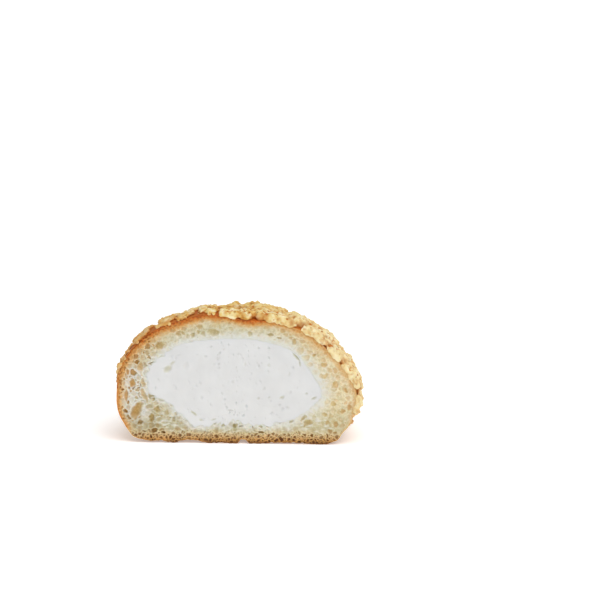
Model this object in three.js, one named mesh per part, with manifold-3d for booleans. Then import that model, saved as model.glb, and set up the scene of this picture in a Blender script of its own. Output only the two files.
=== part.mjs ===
// Half of a cream-filled streusel bun, cut upright with a knife and resting on its flat base.
// Millimetres, +Z up. The origin is on the base, below the middle of the whole bun. The cut faces -Y.
import * as THREE from "three";
import { mergeVertices } from "three/addons/utils/BufferGeometryUtils.js";
import Module from "manifold-3d";

// Driving dimensions of the bread
const BUN_RADIUS = 49.3; // bread at its widest, without the streusel
const CROWN_HEIGHT = 53.5; // base to the top of the bread
const WAIST_HEIGHT = 20; // base to the widest girth
const BASE_ROUNDING = 4; // reach of the rounding at the edge of the base
const CROWN_LEAN = 4.7; // from the bun's axis to the left to the top of the bread
const CUT_OFFSET = 6; // from the bun's axis forward to the knife cut

// Driving dimensions of the cream
const CREAM_CENTRE = new THREE.Vector2(-0.4, 26.1); // x and z of the middle of the filling
const CREAM_DEPTH = 38; // from the bun's axis to the back of the filling
const CREAM_GAP = 0.3; // clearance between the filling and its hollow
// Outline of the filling at the cut, as x and z from its middle, anticlockwise from the right tip
const CREAM_OUTLINE = [
  [36.9, -4.2], [31.4, 5.2], [24.8, 12], [13.8, 16.5], [0.6, 18.8], [-20.7, 15.7], [-30.3, 10.5],
  [-37.4, 2.4], [-33.5, -5.6], [-25.6, -8.4], [-21.4, -14.4], [-13, -18.6], [0.6, -19], [13, -19.4],
  [24.1, -16.6], [32.9, -10.6],
];

// Driving dimensions of the streusel flakes
const FLAKE_COUNT = 104; // flakes on the whole bun
const FLAKE_LOWEST = -0.12; // lowest flakes, as a share of the bread's half height under the waist
const FLAKE_CROWDING = 0.92; // below 1 the flakes are larger at the crown than at the waist
const FLAKE_START = 28; // degrees from +X to the first flake of the spiral
const FLAKE_JITTER = 0.46; // how far a flake strays from its even place, as a share of the spacing
const FLAKE_REACH = 11; // from a flake's middle to its edge, at most
const FLAKE_THICKNESS = 3.1; // at the crown
const FLAKE_THINNING = 0.35; // share of the thickness lost from the crown to the waist
const FLAKE_SLANT = 0.3; // share of the thickness gained on the right and lost on the left
const FLAKE_UNEVEN = 0.2; // share by which reach and thickness differ from flake to flake
const FLAKE_SHOULDER = 0.6; // height of a flake's upright edge, as a share of its thickness
const FLAKE_TOP = 0.66; // reach of a flake's full thickness, as a share of its own reach
const FLAKE_SIDES = 12;
const FLAKE_CORNER_STRAY = 0.4; // how far a corner strays from its even place, as a share of a side
const FLAKE_RAGGED = 0.14; // deepest notch in a flake's edge, as a share of its reach
const FLAKE_ROOT = 1.2; // depth of a flake's root in the bread
const FLAKE_BARE_SHARE = 0.07; // share of places that lost their flake
const CRACK_WIDTH = 1.5; // bare bread between two flakes
const CRACK_UNEVEN = 0.6; // share by which one crack differs from another

// Driving dimensions of the loose streusel crumbs
const CRUMB_COUNT = 190; // places for crumbs on the whole bun
const CRUMB_RADIUS = 1.5;
const CRUMB_UNEVEN = 0.4; // share by which the radius differs from crumb to crumb
const CRUMB_LOWEST = -0.3; // lowest crumbs, as a share of the bread's half height under the waist
const CRUMB_JITTER = 1; // how far a crumb strays from its even place, as a share of the spacing
const CRUMB_SINK = 0.35; // share of a crumb's radius below the skin
const CRUMB_CLEARANCE = 8; // from a crumb to the middle of the nearest flake, at least

// Fineness of the facets
const BREAD_DETAIL = 9;
const CREAM_SEGMENTS = 48;
const CREAM_RINGS = 18;
const WELD_DISTANCE = 1e-4;

// Every use of chance has its own stream of numbers, and a place uses three in a row
const STREAM = {
  flakePlace: 1,
  flakeThickness: 5,
  flakeMissing: 6,
  flakeSize: 7,
  flakeCorner: 8,
  flakeNotch: 9,
  crack: 11,
  crumbPlace: 21,
  crumbSize: 24,
  crumbTurn: 25,
  crumbTilt: 26,
};

const GOLDEN_ANGLE = Math.PI * (3 - Math.sqrt(5));
const CROWN_RISE = CROWN_HEIGHT - WAIST_HEIGHT;

// A ball of radius 1 stretched to the loaf, with the way back and the turn of its normals
const ballToLoaf = new THREE.Matrix4().set(
  BUN_RADIUS, 0, -CROWN_LEAN, 0,
  0, BUN_RADIUS, 0, 0,
  0, 0, CROWN_RISE, WAIST_HEIGHT,
  0, 0, 0, 1,
);
const loafToBall = ballToLoaf.clone().invert();
const ballToLoafNormals = new THREE.Matrix3().getNormalMatrix(ballToLoaf);

const wasm = await Module();
wasm.setup();

// A fixed number from 0 to 1 for each whole number in a stream, from the digits of a fast sine wave.
function draw(number, stream) {
  const wave = Math.sin(number * 12.9898 + stream * 78.233) * 43758.5453;
  return wave - Math.floor(wave);
}

// A factor around 1 that differs by up to the given share either way.
function vary(share, number, stream) {
  return 1 + share * (2 * draw(number, stream) - 1);
}

// A closed three.js geometry as a solid that can be joined and cut.
function solidFrom(geometry) {
  const bare = geometry.clone();
  bare.deleteAttribute("normal");
  bare.deleteAttribute("uv");
  const merged = mergeVertices(bare, WELD_DISTANCE);
  return new wasm.Manifold(
    new wasm.Mesh({
      numProp: 3,
      vertProperties: new Float32Array(merged.attributes.position.array),
      triVerts: new Uint32Array(merged.index.array),
    }),
  );
}

// The solid's triangles as a three.js geometry with flat shading normals.
function geometryFrom(solid) {
  const mesh = solid.getMesh();
  const geometry = new THREE.BufferGeometry();
  geometry.setAttribute("position", new THREE.BufferAttribute(mesh.vertProperties, 3));
  geometry.setIndex(new THREE.BufferAttribute(mesh.triVerts, 1));
  const flat = geometry.toNonIndexed();
  flat.computeVertexNormals();
  return flat;
}

// Moves every vertex of a geometry by a rule.
function reshape(geometry, rule) {
  const positions = geometry.attributes.position;
  const point = new THREE.Vector3();
  for (let i = 0; i < positions.count; i += 1) {
    point.fromBufferAttribute(positions, i);
    rule(point);
    positions.setXYZ(i, point.x, point.y, point.z);
  }
  return geometry;
}

// The bread's skin above a direction from the middle of its girth, lifted along its normal.
function skinPoint(direction, lift) {
  const unit = direction.clone().normalize();
  const normal = unit.clone().applyNormalMatrix(ballToLoafNormals);
  return unit.applyMatrix4(ballToLoaf).addScaledVector(normal, lift);
}

// The direction from the middle of the girth to a point near the skin.
function directionTo(point) {
  return point.clone().applyMatrix4(loafToBall).normalize();
}

// Even places on the skin, spiralling from the crown down to the lowest share, each moved a little.
function spiralDirection(index, { count, lowest, start, jitter, stream }) {
  const share = Math.pow((index + 0.5) / count, FLAKE_CROWDING);
  const rise = 1 - share * (1 - lowest);
  const girth = Math.sqrt(1 - rise * rise);
  const turn = index * GOLDEN_ANGLE + THREE.MathUtils.degToRad(start);
  const direction = new THREE.Vector3(girth * Math.cos(turn), girth * Math.sin(turn), rise);
  const spacing = Math.sqrt((2 * Math.PI * (1 - lowest)) / count);
  const offset = new THREE.Vector3(
    draw(index, stream) - 0.5,
    draw(index, stream + 1) - 0.5,
    draw(index, stream + 2) - 0.5,
  );
  return direction.addScaledVector(offset, 2 * jitter * spacing).normalize();
}

// The bread before it is cut: an oblate loaf whose underside flattens smoothly onto the table.
function loafGeometry() {
  return reshape(new THREE.IcosahedronGeometry(1, BREAD_DETAIL), (point) => {
    point.copy(skinPoint(point, 0));
    const blend = Math.max(BASE_ROUNDING - Math.abs(point.z), 0);
    point.z = Math.max(point.z, 0) + (blend * blend) / (4 * BASE_ROUNDING);
  });
}

const flakeSpiral = {
  count: FLAKE_COUNT,
  lowest: FLAKE_LOWEST,
  start: FLAKE_START,
  jitter: FLAKE_JITTER,
  stream: STREAM.flakePlace,
};
const crumbSpiral = {
  count: CRUMB_COUNT,
  lowest: CRUMB_LOWEST,
  start: 0,
  jitter: CRUMB_JITTER,
  stream: STREAM.crumbPlace,
};
const flakeMiddles = Array.from({ length: FLAKE_COUNT }, (_, index) =>
  skinPoint(spiralDirection(index, flakeSpiral), 0),
);

// Bare width between two flakes, the same seen from either one.
function crackBetween(a, b) {
  const pair = Math.min(a, b) * FLAKE_COUNT + Math.max(a, b);
  return CRACK_WIDTH * vary(CRACK_UNEVEN, pair, STREAM.crack);
}

// How far a flake reaches along a direction in its plane, stopping short of each neighbour.
function flakeReach(index, along) {
  const middle = flakeMiddles[index];
  let reach = FLAKE_REACH * vary(FLAKE_UNEVEN, index, STREAM.flakeSize);
  flakeMiddles.forEach((other, neighbour) => {
    const away = other.clone().sub(middle);
    const facing = along.dot(away);
    if (neighbour !== index && facing > 0) {
      const distance = away.length();
      reach = Math.min(reach, (distance * (distance - crackBetween(index, neighbour))) / (2 * facing));
    }
  });
  return Math.max(reach, CRACK_WIDTH / 2);
}

// How thick a flake is: less towards the waist, and more on the right than on the left.
function flakeThickness(index) {
  const direction = directionTo(flakeMiddles[index]);
  const thinning = 1 - FLAKE_THINNING * (1 - Math.max(direction.z, 0));
  const slant = 1 + FLAKE_SLANT * direction.x;
  return FLAKE_THICKNESS * thinning * slant * vary(FLAKE_UNEVEN, index, STREAM.flakeThickness);
}

// One streusel flake: a ragged plate that follows the skin, thickest in the middle.
function flakeSolid(index) {
  const middle = flakeMiddles[index];
  const outward = skinPoint(directionTo(middle), 1).sub(middle);
  const across = new THREE.Vector3(0, 0, 1).cross(outward).normalize();
  const upward = outward.clone().cross(across);
  const thickness = flakeThickness(index);
  const rings = [
    { share: 1, lift: -FLAKE_ROOT },
    { share: 1, lift: FLAKE_SHOULDER * thickness },
    { share: FLAKE_TOP, lift: thickness },
  ];
  const vertices = [skinPoint(directionTo(middle), -FLAKE_ROOT)];
  rings.forEach(({ share, lift }) => {
    for (let side = 0; side < FLAKE_SIDES; side += 1) {
      const corner = index * FLAKE_SIDES + side;
      const stray = FLAKE_CORNER_STRAY * draw(corner, STREAM.flakeCorner);
      const turn = (2 * Math.PI * (side + stray)) / FLAKE_SIDES;
      const along = across.clone().multiplyScalar(Math.cos(turn)).addScaledVector(upward, Math.sin(turn));
      const ragged = 1 - FLAKE_RAGGED * draw(corner, STREAM.flakeNotch);
      const edge = middle.clone().addScaledVector(along, share * ragged * flakeReach(index, along));
      vertices.push(skinPoint(directionTo(edge), lift));
    }
  });
  vertices.push(skinPoint(directionTo(middle), thickness));
  return solidFrom(stackedRings(vertices, rings.length, FLAKE_SIDES));
}

// Triangles over a bottom point, rings of equal count from the bottom up, and a top point.
function stackedRings(vertices, ringCount, sides) {
  const last = vertices.length - 1;
  const triangles = [];
  for (let side = 0; side < sides; side += 1) {
    const next = (side + 1) % sides;
    triangles.push(0, 1 + next, 1 + side);
    for (let ring = 0; ring < ringCount - 1; ring += 1) {
      const low = 1 + ring * sides;
      const high = low + sides;
      triangles.push(low + side, low + next, high + next, low + side, high + next, high + side);
    }
    const top = 1 + (ringCount - 1) * sides;
    triangles.push(top + side, top + next, last);
  }
  const geometry = new THREE.BufferGeometry().setFromPoints(vertices);
  return geometry.setIndex(triangles);
}

// One loose streusel crumb, a small lump half sunk in the skin.
function crumbSolid(index) {
  const radius = CRUMB_RADIUS * vary(CRUMB_UNEVEN, index, STREAM.crumbSize);
  const place = skinPoint(spiralDirection(index, crumbSpiral), radius * (1 - 2 * CRUMB_SINK));
  const lump = new THREE.IcosahedronGeometry(radius, 0);
  lump.rotateZ(draw(index, STREAM.crumbTurn) * Math.PI);
  lump.rotateX(draw(index, STREAM.crumbTilt) * Math.PI);
  return solidFrom(lump.translate(place.x, place.y, place.z));
}

// True where a crumb shows: behind the cut and clear of the flakes.
function crumbShows(index) {
  const place = skinPoint(spiralDirection(index, crumbSpiral), 0);
  const nearest = Math.min(...flakeMiddles.map((middle) => middle.distanceTo(place)));
  return place.y > -CUT_OFFSET + CRUMB_RADIUS && nearest > CRUMB_CLEARANCE;
}

// The filling before it is cut: a round lump behind the cut, with the outline at the cut plane.
function creamGeometry(gap) {
  const outline = new THREE.CatmullRomCurve3(
    CREAM_OUTLINE.map(([x, z]) => new THREE.Vector3(x, 0, z)),
    true,
  );
  const widening = 1 / Math.sqrt(1 - (CUT_OFFSET / CREAM_DEPTH) ** 2);
  return reshape(new THREE.SphereGeometry(1, CREAM_SEGMENTS, CREAM_RINGS), (point) => {
    const turn = Math.atan2(point.z, -point.x) / (2 * Math.PI);
    const girth = Math.hypot(point.x, point.z) * widening;
    const edge = outline.getPoint((turn + 1) % 1);
    const grown = 1 + gap / Math.hypot(edge.x, edge.z);
    point.set(
      CREAM_CENTRE.x + edge.x * girth * grown,
      -point.y * (CREAM_DEPTH + gap),
      CREAM_CENTRE.y + edge.z * girth * grown,
    );
  });
}

// Everything in front of the knife cut.
function frontBlock() {
  const depth = 2 * BUN_RADIUS;
  const block = new THREE.BoxGeometry(4 * BUN_RADIUS, depth, 4 * BUN_RADIUS);
  return solidFrom(block.translate(0, -CUT_OFFSET - depth / 2, 0));
}

function breadSolid() {
  let bread = solidFrom(loafGeometry());
  for (let index = 0; index < FLAKE_COUNT; index += 1) {
    const behindCut = flakeMiddles[index].y > -CUT_OFFSET - FLAKE_REACH;
    const kept = draw(index, STREAM.flakeMissing) > FLAKE_BARE_SHARE;
    if (behindCut && kept) bread = bread.add(flakeSolid(index));
  }
  for (let index = 0; index < CRUMB_COUNT; index += 1) {
    if (crumbShows(index)) bread = bread.add(crumbSolid(index));
  }
  return bread.subtract(frontBlock()).subtract(solidFrom(creamGeometry(CREAM_GAP)));
}

function creamSolid() {
  return solidFrom(creamGeometry(0)).subtract(frontBlock());
}

const crust = new THREE.MeshStandardMaterial({ color: 0xd9ad66, roughness: 0.85, metalness: 0 });
const whippedCream = new THREE.MeshStandardMaterial({ color: 0xf1f0ec, roughness: 0.6, metalness: 0 });

const bread = new THREE.Mesh(geometryFrom(breadSolid()), crust);
bread.name = "bread";
const cream = new THREE.Mesh(geometryFrom(creamSolid()), whippedCream);
cream.name = "cream";

const halfBun = new THREE.Group();
halfBun.add(bread, cream);

export default halfBun;
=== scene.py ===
# %% [markdown]
# Half of a streusel bun with a cream filling
#
# A round bun was baked under a layer of crumbly streusel, filled with whipped cream and cut upright with a
# knife. What we see is a cut face with crust, open crumb and cream, and a dome covered with pale broken
# plates. The solid model already has the sizes. This lesson dresses it with four pieces: the loaf, the
# cream, the streusel plates and the loose streusel crumbs.

# %% Load the solid model as the fixed frame
import math

import bpy
import numpy as np
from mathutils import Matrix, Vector, kdtree, noise


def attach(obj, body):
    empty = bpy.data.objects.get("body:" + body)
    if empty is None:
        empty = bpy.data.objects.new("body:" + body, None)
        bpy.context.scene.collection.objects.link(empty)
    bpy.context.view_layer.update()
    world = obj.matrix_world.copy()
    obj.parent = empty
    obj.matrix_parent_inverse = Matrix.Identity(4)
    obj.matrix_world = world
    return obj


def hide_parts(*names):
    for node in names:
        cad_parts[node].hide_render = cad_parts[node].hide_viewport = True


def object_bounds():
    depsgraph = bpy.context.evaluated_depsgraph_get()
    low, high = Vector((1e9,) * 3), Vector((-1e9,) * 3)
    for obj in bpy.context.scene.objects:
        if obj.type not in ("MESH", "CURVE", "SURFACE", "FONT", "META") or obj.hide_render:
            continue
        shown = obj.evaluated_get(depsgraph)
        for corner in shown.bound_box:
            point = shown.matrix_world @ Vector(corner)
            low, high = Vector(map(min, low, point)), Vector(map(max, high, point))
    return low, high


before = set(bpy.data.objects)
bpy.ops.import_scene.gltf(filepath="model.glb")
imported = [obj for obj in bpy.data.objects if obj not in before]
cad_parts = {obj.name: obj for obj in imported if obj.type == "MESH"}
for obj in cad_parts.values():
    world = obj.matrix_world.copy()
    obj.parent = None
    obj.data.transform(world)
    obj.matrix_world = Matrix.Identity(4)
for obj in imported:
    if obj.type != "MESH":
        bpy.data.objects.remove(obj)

MM = 0.001
cad_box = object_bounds()


def in_mm(point, digits=1):
    """A point in millimetres, rounded to be printed."""
    return [round(v / MM, digits) for v in point]


print("solid model from", in_mm(cad_box[0]), "to", in_mm(cad_box[1]))

# %% [markdown]
# Camera
#
# The photograph was taken from a little above and a little to the right, through a long lens. The camera is
# placed round the middle of the object by two angles and a distance. The object isn't in the middle of the
# picture, so the camera looks past it, to the right and up, by the same number of millimetres.

# %% Place the camera
VIEW_AZIMUTH = math.radians(4)
VIEW_ELEVATION = math.radians(13.5)
VIEW_DISTANCE = 1000 * MM
PICTURE_SIDE = 250.9 * MM  # what the picture's width shows at the object
PICTURE_PIXELS = 600
OBJECT_PIXEL = (242.5, 360)  # middle of the object in the picture

middle_of_bun = (cad_box[0] + cad_box[1]) / 2
towards_camera = Vector((
    math.sin(VIEW_AZIMUTH) * math.cos(VIEW_ELEVATION),
    -math.cos(VIEW_AZIMUTH) * math.cos(VIEW_ELEVATION),
    math.sin(VIEW_ELEVATION),
))
picture_right = Vector((math.cos(VIEW_AZIMUTH), math.sin(VIEW_AZIMUTH), 0))
picture_up = towards_camera.cross(picture_right)
pixel = PICTURE_SIDE / PICTURE_PIXELS
looks_at = (
    middle_of_bun
    + picture_right * (PICTURE_PIXELS / 2 - OBJECT_PIXEL[0]) * pixel
    + picture_up * (OBJECT_PIXEL[1] - PICTURE_PIXELS / 2) * pixel
)
bpy.ops.object.camera_add(location=middle_of_bun + towards_camera * VIEW_DISTANCE)
camera = bpy.context.object
camera.rotation_euler = (looks_at - camera.location).to_track_quat("-Z", "Y").to_euler()
camera.data.lens = camera.data.sensor_width * VIEW_DISTANCE / PICTURE_SIDE
bpy.context.scene.camera = camera
print("camera at", in_mm(camera.location, 0), "mm, lens", round(camera.data.lens), "mm")

# %% [markdown]
# Studio
#
# Food of pale colours is lit softly. One broad light from the front, the right and above models the
# streusel, and a bright surround keeps the shaded crust from going black. The paper under the bun glows a
# little, like a light table, which thins the shadow. The plain view transform keeps the colours as they are
# set.


# %% Colours are written as sRGB hex values
def linear(hex_colour):
    """An sRGB hex value as the linear red, green, blue and alpha that Blender's sockets take."""
    channels = [int(hex_colour[i:i + 2], 16) / 255 for i in (1, 3, 5)]
    return [c / 12.92 if c <= 0.04045 else ((c + 0.055) / 1.055) ** 2.4 for c in channels] + [1]


# %% One function adds any node with its settings and links
def connect(owner, node, inputs):
    """Fills a node's sockets. One that is given another node's output is linked, any other value is set."""
    for socket, value in inputs.items():
        if isinstance(value, bpy.types.NodeSocket):
            owner.node_tree.links.new(value, node.inputs[socket])
        else:
            node.inputs[socket].default_value = value


def add_node(owner, kind, inputs=None, stops=None, **settings):
    """Adds a node with its settings, its sockets and, for a colour ramp, its stops from left to right."""
    node = owner.node_tree.nodes.new(kind)
    for name, value in settings.items():
        setattr(node, name, value)
    connect(owner, node, inputs or {})
    for index, (position, hex_colour) in enumerate(stops or []):
        elements = node.color_ramp.elements
        element = elements[index] if index < 2 else elements.new(position)
        element.position = position
        element.color = linear(hex_colour)
    return node


# %% Light the studio
# Where the soft key light stands, seen from the bun: right, front, above
KEY_DIRECTION = Vector((0.25, -0.4, 0.88))
KEY_STRENGTH = 1.75
KEY_SPREAD = math.radians(50)  # a wide light has soft shadows
SURROUND_STRENGTH = 0.42
LIGHT_TABLE = 0.28  # how strongly the paper glows
FLOOR_SIDE = 30  # metres, so wide that its edge never shows
FLOOR_DROP = 0.05 * MM

bpy.ops.object.light_add(type="SUN", rotation=(-KEY_DIRECTION).to_track_quat("-Z", "Y").to_euler())
key_light = bpy.context.object
key_light.name = "key_light"
key_light.data.energy = KEY_STRENGTH
key_light.data.angle = KEY_SPREAD

surround = bpy.data.worlds.new("bright_surround")
surround.use_nodes = True
background = surround.node_tree.nodes["Background"]
connect(surround, background, {"Color": linear("#ffffff"), "Strength": SURROUND_STRENGTH})
bpy.context.scene.world = surround
bpy.context.scene.view_settings.view_transform = "Standard"

# %% Lay the glowing paper
bpy.ops.mesh.primitive_plane_add(size=FLOOR_SIDE, location=(0, 0, -FLOOR_DROP))
floor = bpy.context.object
floor.name = "pale_floor"
white_paper = bpy.data.materials.new("white_paper")
white_paper.use_nodes = True
connect(white_paper, white_paper.node_tree.nodes["Principled BSDF"], {
    "Base Color": linear("#ffffff"), "Roughness": 0.9,
    "Emission Color": linear("#ffffff"), "Emission Strength": LIGHT_TABLE,
})
floor.data.materials.append(white_paper)
print("a key light", round(math.degrees(KEY_SPREAD)), "degrees wide, a surround of", SURROUND_STRENGTH)

# %% [markdown]
# The shape of the loaf
#
# A bun that rises freely is close to a flattened ball. It sits on the tray, so its underside is flat, and
# its crown leans a little. One matrix turns a ball of radius 1 into the loaf, and its inverse tells how
# high a point is above the skin. A few gentle bulges and hollows near the cut make the outline this bun's
# own. The streusel will need the same rule, so it comes first.

# %% Sizes of the loaf in millimetres, as in the solid model
BUN_RADIUS = 49.3
CROWN_HEIGHT = 53.5
WAIST_HEIGHT = 20.0
CROWN_LEAN = 4.7
BASE_ROUNDING = 4.0
CUT_OFFSET = 6.0
# Bulges and hollows of the skin near the cut: x, z, how far they reach and how high they are
SKIN_BULGES = [
    (4, 53, 8, -0.9), (-14, 53, 8, 0.9), (17, 50, 8, 0.5), (28, 46, 8, 1.1), (-33, 48, 9, 0.8),
    (42, 32, 7, -0.9), (-47, 11, 8, 2.1), (50, 13, 6, -1.6), (44, -1, 8, -4.2), (-41.5, 3, 5, 2.4),
    (41, 1.5, 3.5, 2.2),
]
BULGE_DEPTH = 16.0  # how far they run back from the cut

BALL_TO_LOAF = np.array([
    [BUN_RADIUS, 0, -CROWN_LEAN],
    [0, BUN_RADIUS, 0],
    [0, 0, CROWN_HEIGHT - WAIST_HEIGHT],
])
LOAF_TO_BALL = np.linalg.inv(BALL_TO_LOAF)
WAIST = np.array([0, 0, WAIST_HEIGHT])


def bulge(points):
    """How far the skin bulges out at points."""
    depth = np.exp(-(((points[:, 1] + CUT_OFFSET) / BULGE_DEPTH) ** 2))
    return depth * sum(
        height * np.exp(-((points[:, 0] - x) ** 2 + (points[:, 2] - z) ** 2) / reach**2)
        for x, z, reach, height in SKIN_BULGES
    )


def above_skin(points):
    """Height of points above the skin in millimetres, and the directions straight out of the skin."""
    ball = (points - WAIST) @ LOAF_TO_BALL.T
    size = np.linalg.norm(ball, axis=1, keepdims=True)
    slope = (ball / size) @ LOAF_TO_BALL
    steepness = np.linalg.norm(slope, axis=1, keepdims=True)
    return ((size - 1) / steepness)[:, 0] - bulge(points), slope / steepness


def on_plain_skin(directions):
    """Points of the plain loaf above directions from the middle of the waist."""
    units = directions / np.linalg.norm(directions, axis=1, keepdims=True)
    return units @ BALL_TO_LOAF.T + WAIST


def on_skin(directions):
    """Points of the skin, with its bulges, above directions from the middle of the waist."""
    points = on_plain_skin(directions)
    return points + above_skin(points)[1] * bulge(points)[:, None]


# %% Helpers to read and move vertices in millimetres
def coordinates(piece):
    """The piece's vertices, one row each."""
    flat = np.empty(3 * len(piece.data.vertices), np.float32)
    piece.data.vertices.foreach_get("co", flat)
    return flat.reshape(-1, 3).astype(float) / MM


def place(piece, points):
    """Moves the piece's vertices to these points."""
    piece.data.vertices.foreach_set("co", (points * MM).astype(np.float32).ravel())
    piece.data.update()


def outward(piece):
    """The normals of the piece's vertices, one row each."""
    flat = np.empty(3 * len(piece.data.vertices), np.float32)
    piece.data.vertex_normals.foreach_get("vector", flat)
    return flat.reshape(-1, 3).astype(float)


def edge_ends(piece):
    """The two vertices of each edge, one row each."""
    flat = np.empty(2 * len(piece.data.edges), np.int32)
    piece.data.edges.foreach_get("vertices", flat)
    return flat.reshape(-1, 2)


def paint(piece, name, values):
    """Stores one number for each vertex, which the material reads by its name."""
    attribute = piece.data.attributes.new(name, "FLOAT", "POINT")
    attribute.data.foreach_set("value", values.astype(np.float32))


def triangles(piece):
    """How many triangles the piece has."""
    return sum(len(polygon.vertices) - 2 for polygon in piece.data.polygons)


# %% Helpers for slopes and gentle noise
def between(values, start, end):
    """0 before the start, 1 past the end and a straight slope between. The end may be the lower one."""
    return np.clip((values - start) / (end - start), 0, 1)


def ripple(points, size, seed):
    """Smooth noise from -1 to 1 at each point, with swells of the given size. Each use has its own seed."""
    shift = Vector((17.3, 5.1, 9.7)) * seed
    return np.array([noise.noise(Vector(p) / size + shift) for p in points])


def granules(points, size):
    """About 0.5 in the middle of rounded grains of the given size, down to -0.3 in the creases."""
    return np.array([0.5 - noise.voronoi(Vector(p) / size)[0][0] for p in points])


# %% Helpers to open a piece in edit mode with a chosen selection, and to extrude a loop
def activate(piece):
    """Makes the piece the active object and the only one that is selected."""
    bpy.ops.object.select_all(action="DESELECT")
    piece.select_set(True)
    bpy.context.view_layer.objects.active = piece


def edit(piece, vertices=None, edges=None):
    """Opens the piece in edit mode with only these vertices, or only these edges, selected."""
    activate(piece)
    bpy.ops.object.mode_set(mode="EDIT")
    bpy.ops.mesh.select_mode(type="VERT" if edges is None else "EDGE")
    bpy.ops.mesh.select_all(action="DESELECT")
    bpy.ops.object.mode_set(mode="OBJECT")
    if edges is None:
        piece.data.vertices.foreach_set("select", vertices)
    else:
        piece.data.edges.foreach_set("select", edges)
    bpy.ops.object.mode_set(mode="EDIT")


def selected(piece):
    """Leaves edit mode and says which vertices are selected."""
    bpy.ops.object.mode_set(mode="OBJECT")
    chosen = np.empty(len(piece.data.vertices), bool)
    piece.data.vertices.foreach_get("select", chosen)
    return chosen


def extrude_to(piece, loop, rule):
    """Extrudes a loop of edges and moves the new loop by a rule. Returns which vertices the new loop has."""
    edit(piece, vertices=loop)
    bpy.ops.mesh.extrude_region_move()
    new = selected(piece)
    points = coordinates(piece)
    points[new] = rule(points[new])
    place(piece, points)
    return new


def apply_modifiers(piece):
    """Applies the piece's modifiers from the first to the last."""
    activate(piece)
    for modifier in list(piece.modifiers):
        bpy.ops.object.modifier_apply(modifier=modifier.name)


# %% [markdown]
# The loaf
#
# The loaf could be sculpted from a lump, but its cut face needs fine and even rows of vertices for the gas
# cells. So a ball with its poles at the front and the back is stretched to the loaf, cut with bisect, and
# its open edge is extruded inwards to the outline of the cream. The strip between the two outlines is then
# split into narrow rings.

# %% Stretch a ball to the loaf and cut it
AROUND = 900  # vertices round the cut
FRONT_TO_BACK = 72  # rings of the whole ball
SPLIT = 4  # a coarse ball that is subdivided is much quicker than a fine one

bpy.ops.object.select_all(action="DESELECT")
bpy.ops.mesh.primitive_uv_sphere_add(
    segments=AROUND // SPLIT, ring_count=FRONT_TO_BACK // SPLIT, radius=1, rotation=(math.radians(90), 0, 0)
)
loaf = bpy.context.object
loaf.name = "loaf"
bpy.ops.object.transform_apply(location=True, rotation=True, scale=True)
edit(loaf, vertices=np.ones(len(loaf.data.vertices), bool))
bpy.ops.mesh.subdivide(number_cuts=SPLIT - 1)
bpy.ops.object.mode_set(mode="OBJECT")
place(loaf, on_plain_skin(coordinates(loaf)))
edit(loaf, vertices=np.ones(len(loaf.data.vertices), bool))
bpy.ops.mesh.bisect(plane_co=(0, -CUT_OFFSET * MM, 0), plane_no=(0, 1, 0), clear_inner=True)
cut_loop = selected(loaf)
print("cut loop of", cut_loop.sum(), "vertices, loaf of", len(cut_loop))

# %% [markdown]
# Dough is never quite smooth. The skin gets its bulges, slow swells and fine wrinkles. The underside is
# pressed flat with a rounded edge, and near the cut that edge is dented where it stuck to the tray.

# %% Shape the skin and press the underside flat
SWELL_SIZE = 8
SWELL_HEIGHT = 0.35
WRINKLE_SIZE = 2
WRINKLE_HEIGHT = 0.1
# Where the edge of the base is lifted off the tray: x, half width and height
BASE_DENTS = [(-19.4, 5.0, 1.2), (2.2, 1.8, 1.7), (-32, 3.0, 0.8), (20, 9, 0.5), (-7, 1.5, 0.4)]
TRAY_GRAIN_SIZE = 1.8  # smaller dents all along the edge
TRAY_GRAIN_HEIGHT = 0.7
DENT_DEPTH = 7.0  # how far all the dents run back from the cut
DENT_RISE = 2.0  # and up

points = coordinates(loaf)
swell = bulge(points) + SWELL_HEIGHT * ripple(points, SWELL_SIZE, 1)
swell += WRINKLE_HEIGHT * ripple(points, WRINKLE_SIZE, 2)
across = above_skin(points)[1]
across[:, 1] = 0  # the cut stays flat
points += across * swell[:, None]
blend = np.maximum(BASE_ROUNDING - np.abs(points[:, 2]), 0)
points[:, 2] = np.maximum(points[:, 2], 0) + blend**2 / (4 * BASE_ROUNDING)
dent = TRAY_GRAIN_HEIGHT * np.maximum(ripple(points, TRAY_GRAIN_SIZE, 3), 0)
for x, half_width, lifted in BASE_DENTS:
    dent += lifted * np.exp(-(((points[:, 0] - x) / half_width) ** 4))
low = np.exp(-points[:, 2] / DENT_RISE) * np.exp(-(points[:, 1] + CUT_OFFSET) / DENT_DEPTH)
points[:, 2] += dent * low
place(loaf, points)
print("loaf spans", np.ptp(points, axis=0).round(1), "mm")

# %% [markdown]
# The outline of the cream starts from the solid model, where the filling meets the cut. A knife smears
# cream and tears crumb, so the outline is moved: inwards where torn crumb covers the border, outwards where
# cream was smeared over the crumb. Then it is made ragged, a little along the top, more along the bottom
# and on the left.

# %% The ragged outline of the cream at the cut
CREAM_RAGGED = 0.3
CREAM_TORN = 1.6  # added raggedness low down and on the left
TEAR_SIZE = 3.0
SHRED_SIZE = 1.2
SHRED_SHARE = 0.7
# How far crumb covers the border of the cream, at angles in degrees round the middle of the cream. Less than
# nothing is cream that was smeared over the crumb.
CREAM_COVERED = [
    (-180, 1.0), (-165, -2.0), (-150, -0.5), (-135, -2.2), (-105, 2.8), (-90, 3.1), (-70, 1.5), (-30, 1.8),
    (0, 2.5), (30, 0.4), (90, 1.1), (120, 1.2), (150, 0),
]
# The solid's rim has corners, so it is averaged over these steps to either side
RIM_SMOOTHING = np.radians(np.linspace(-3, 3, 7))

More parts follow.
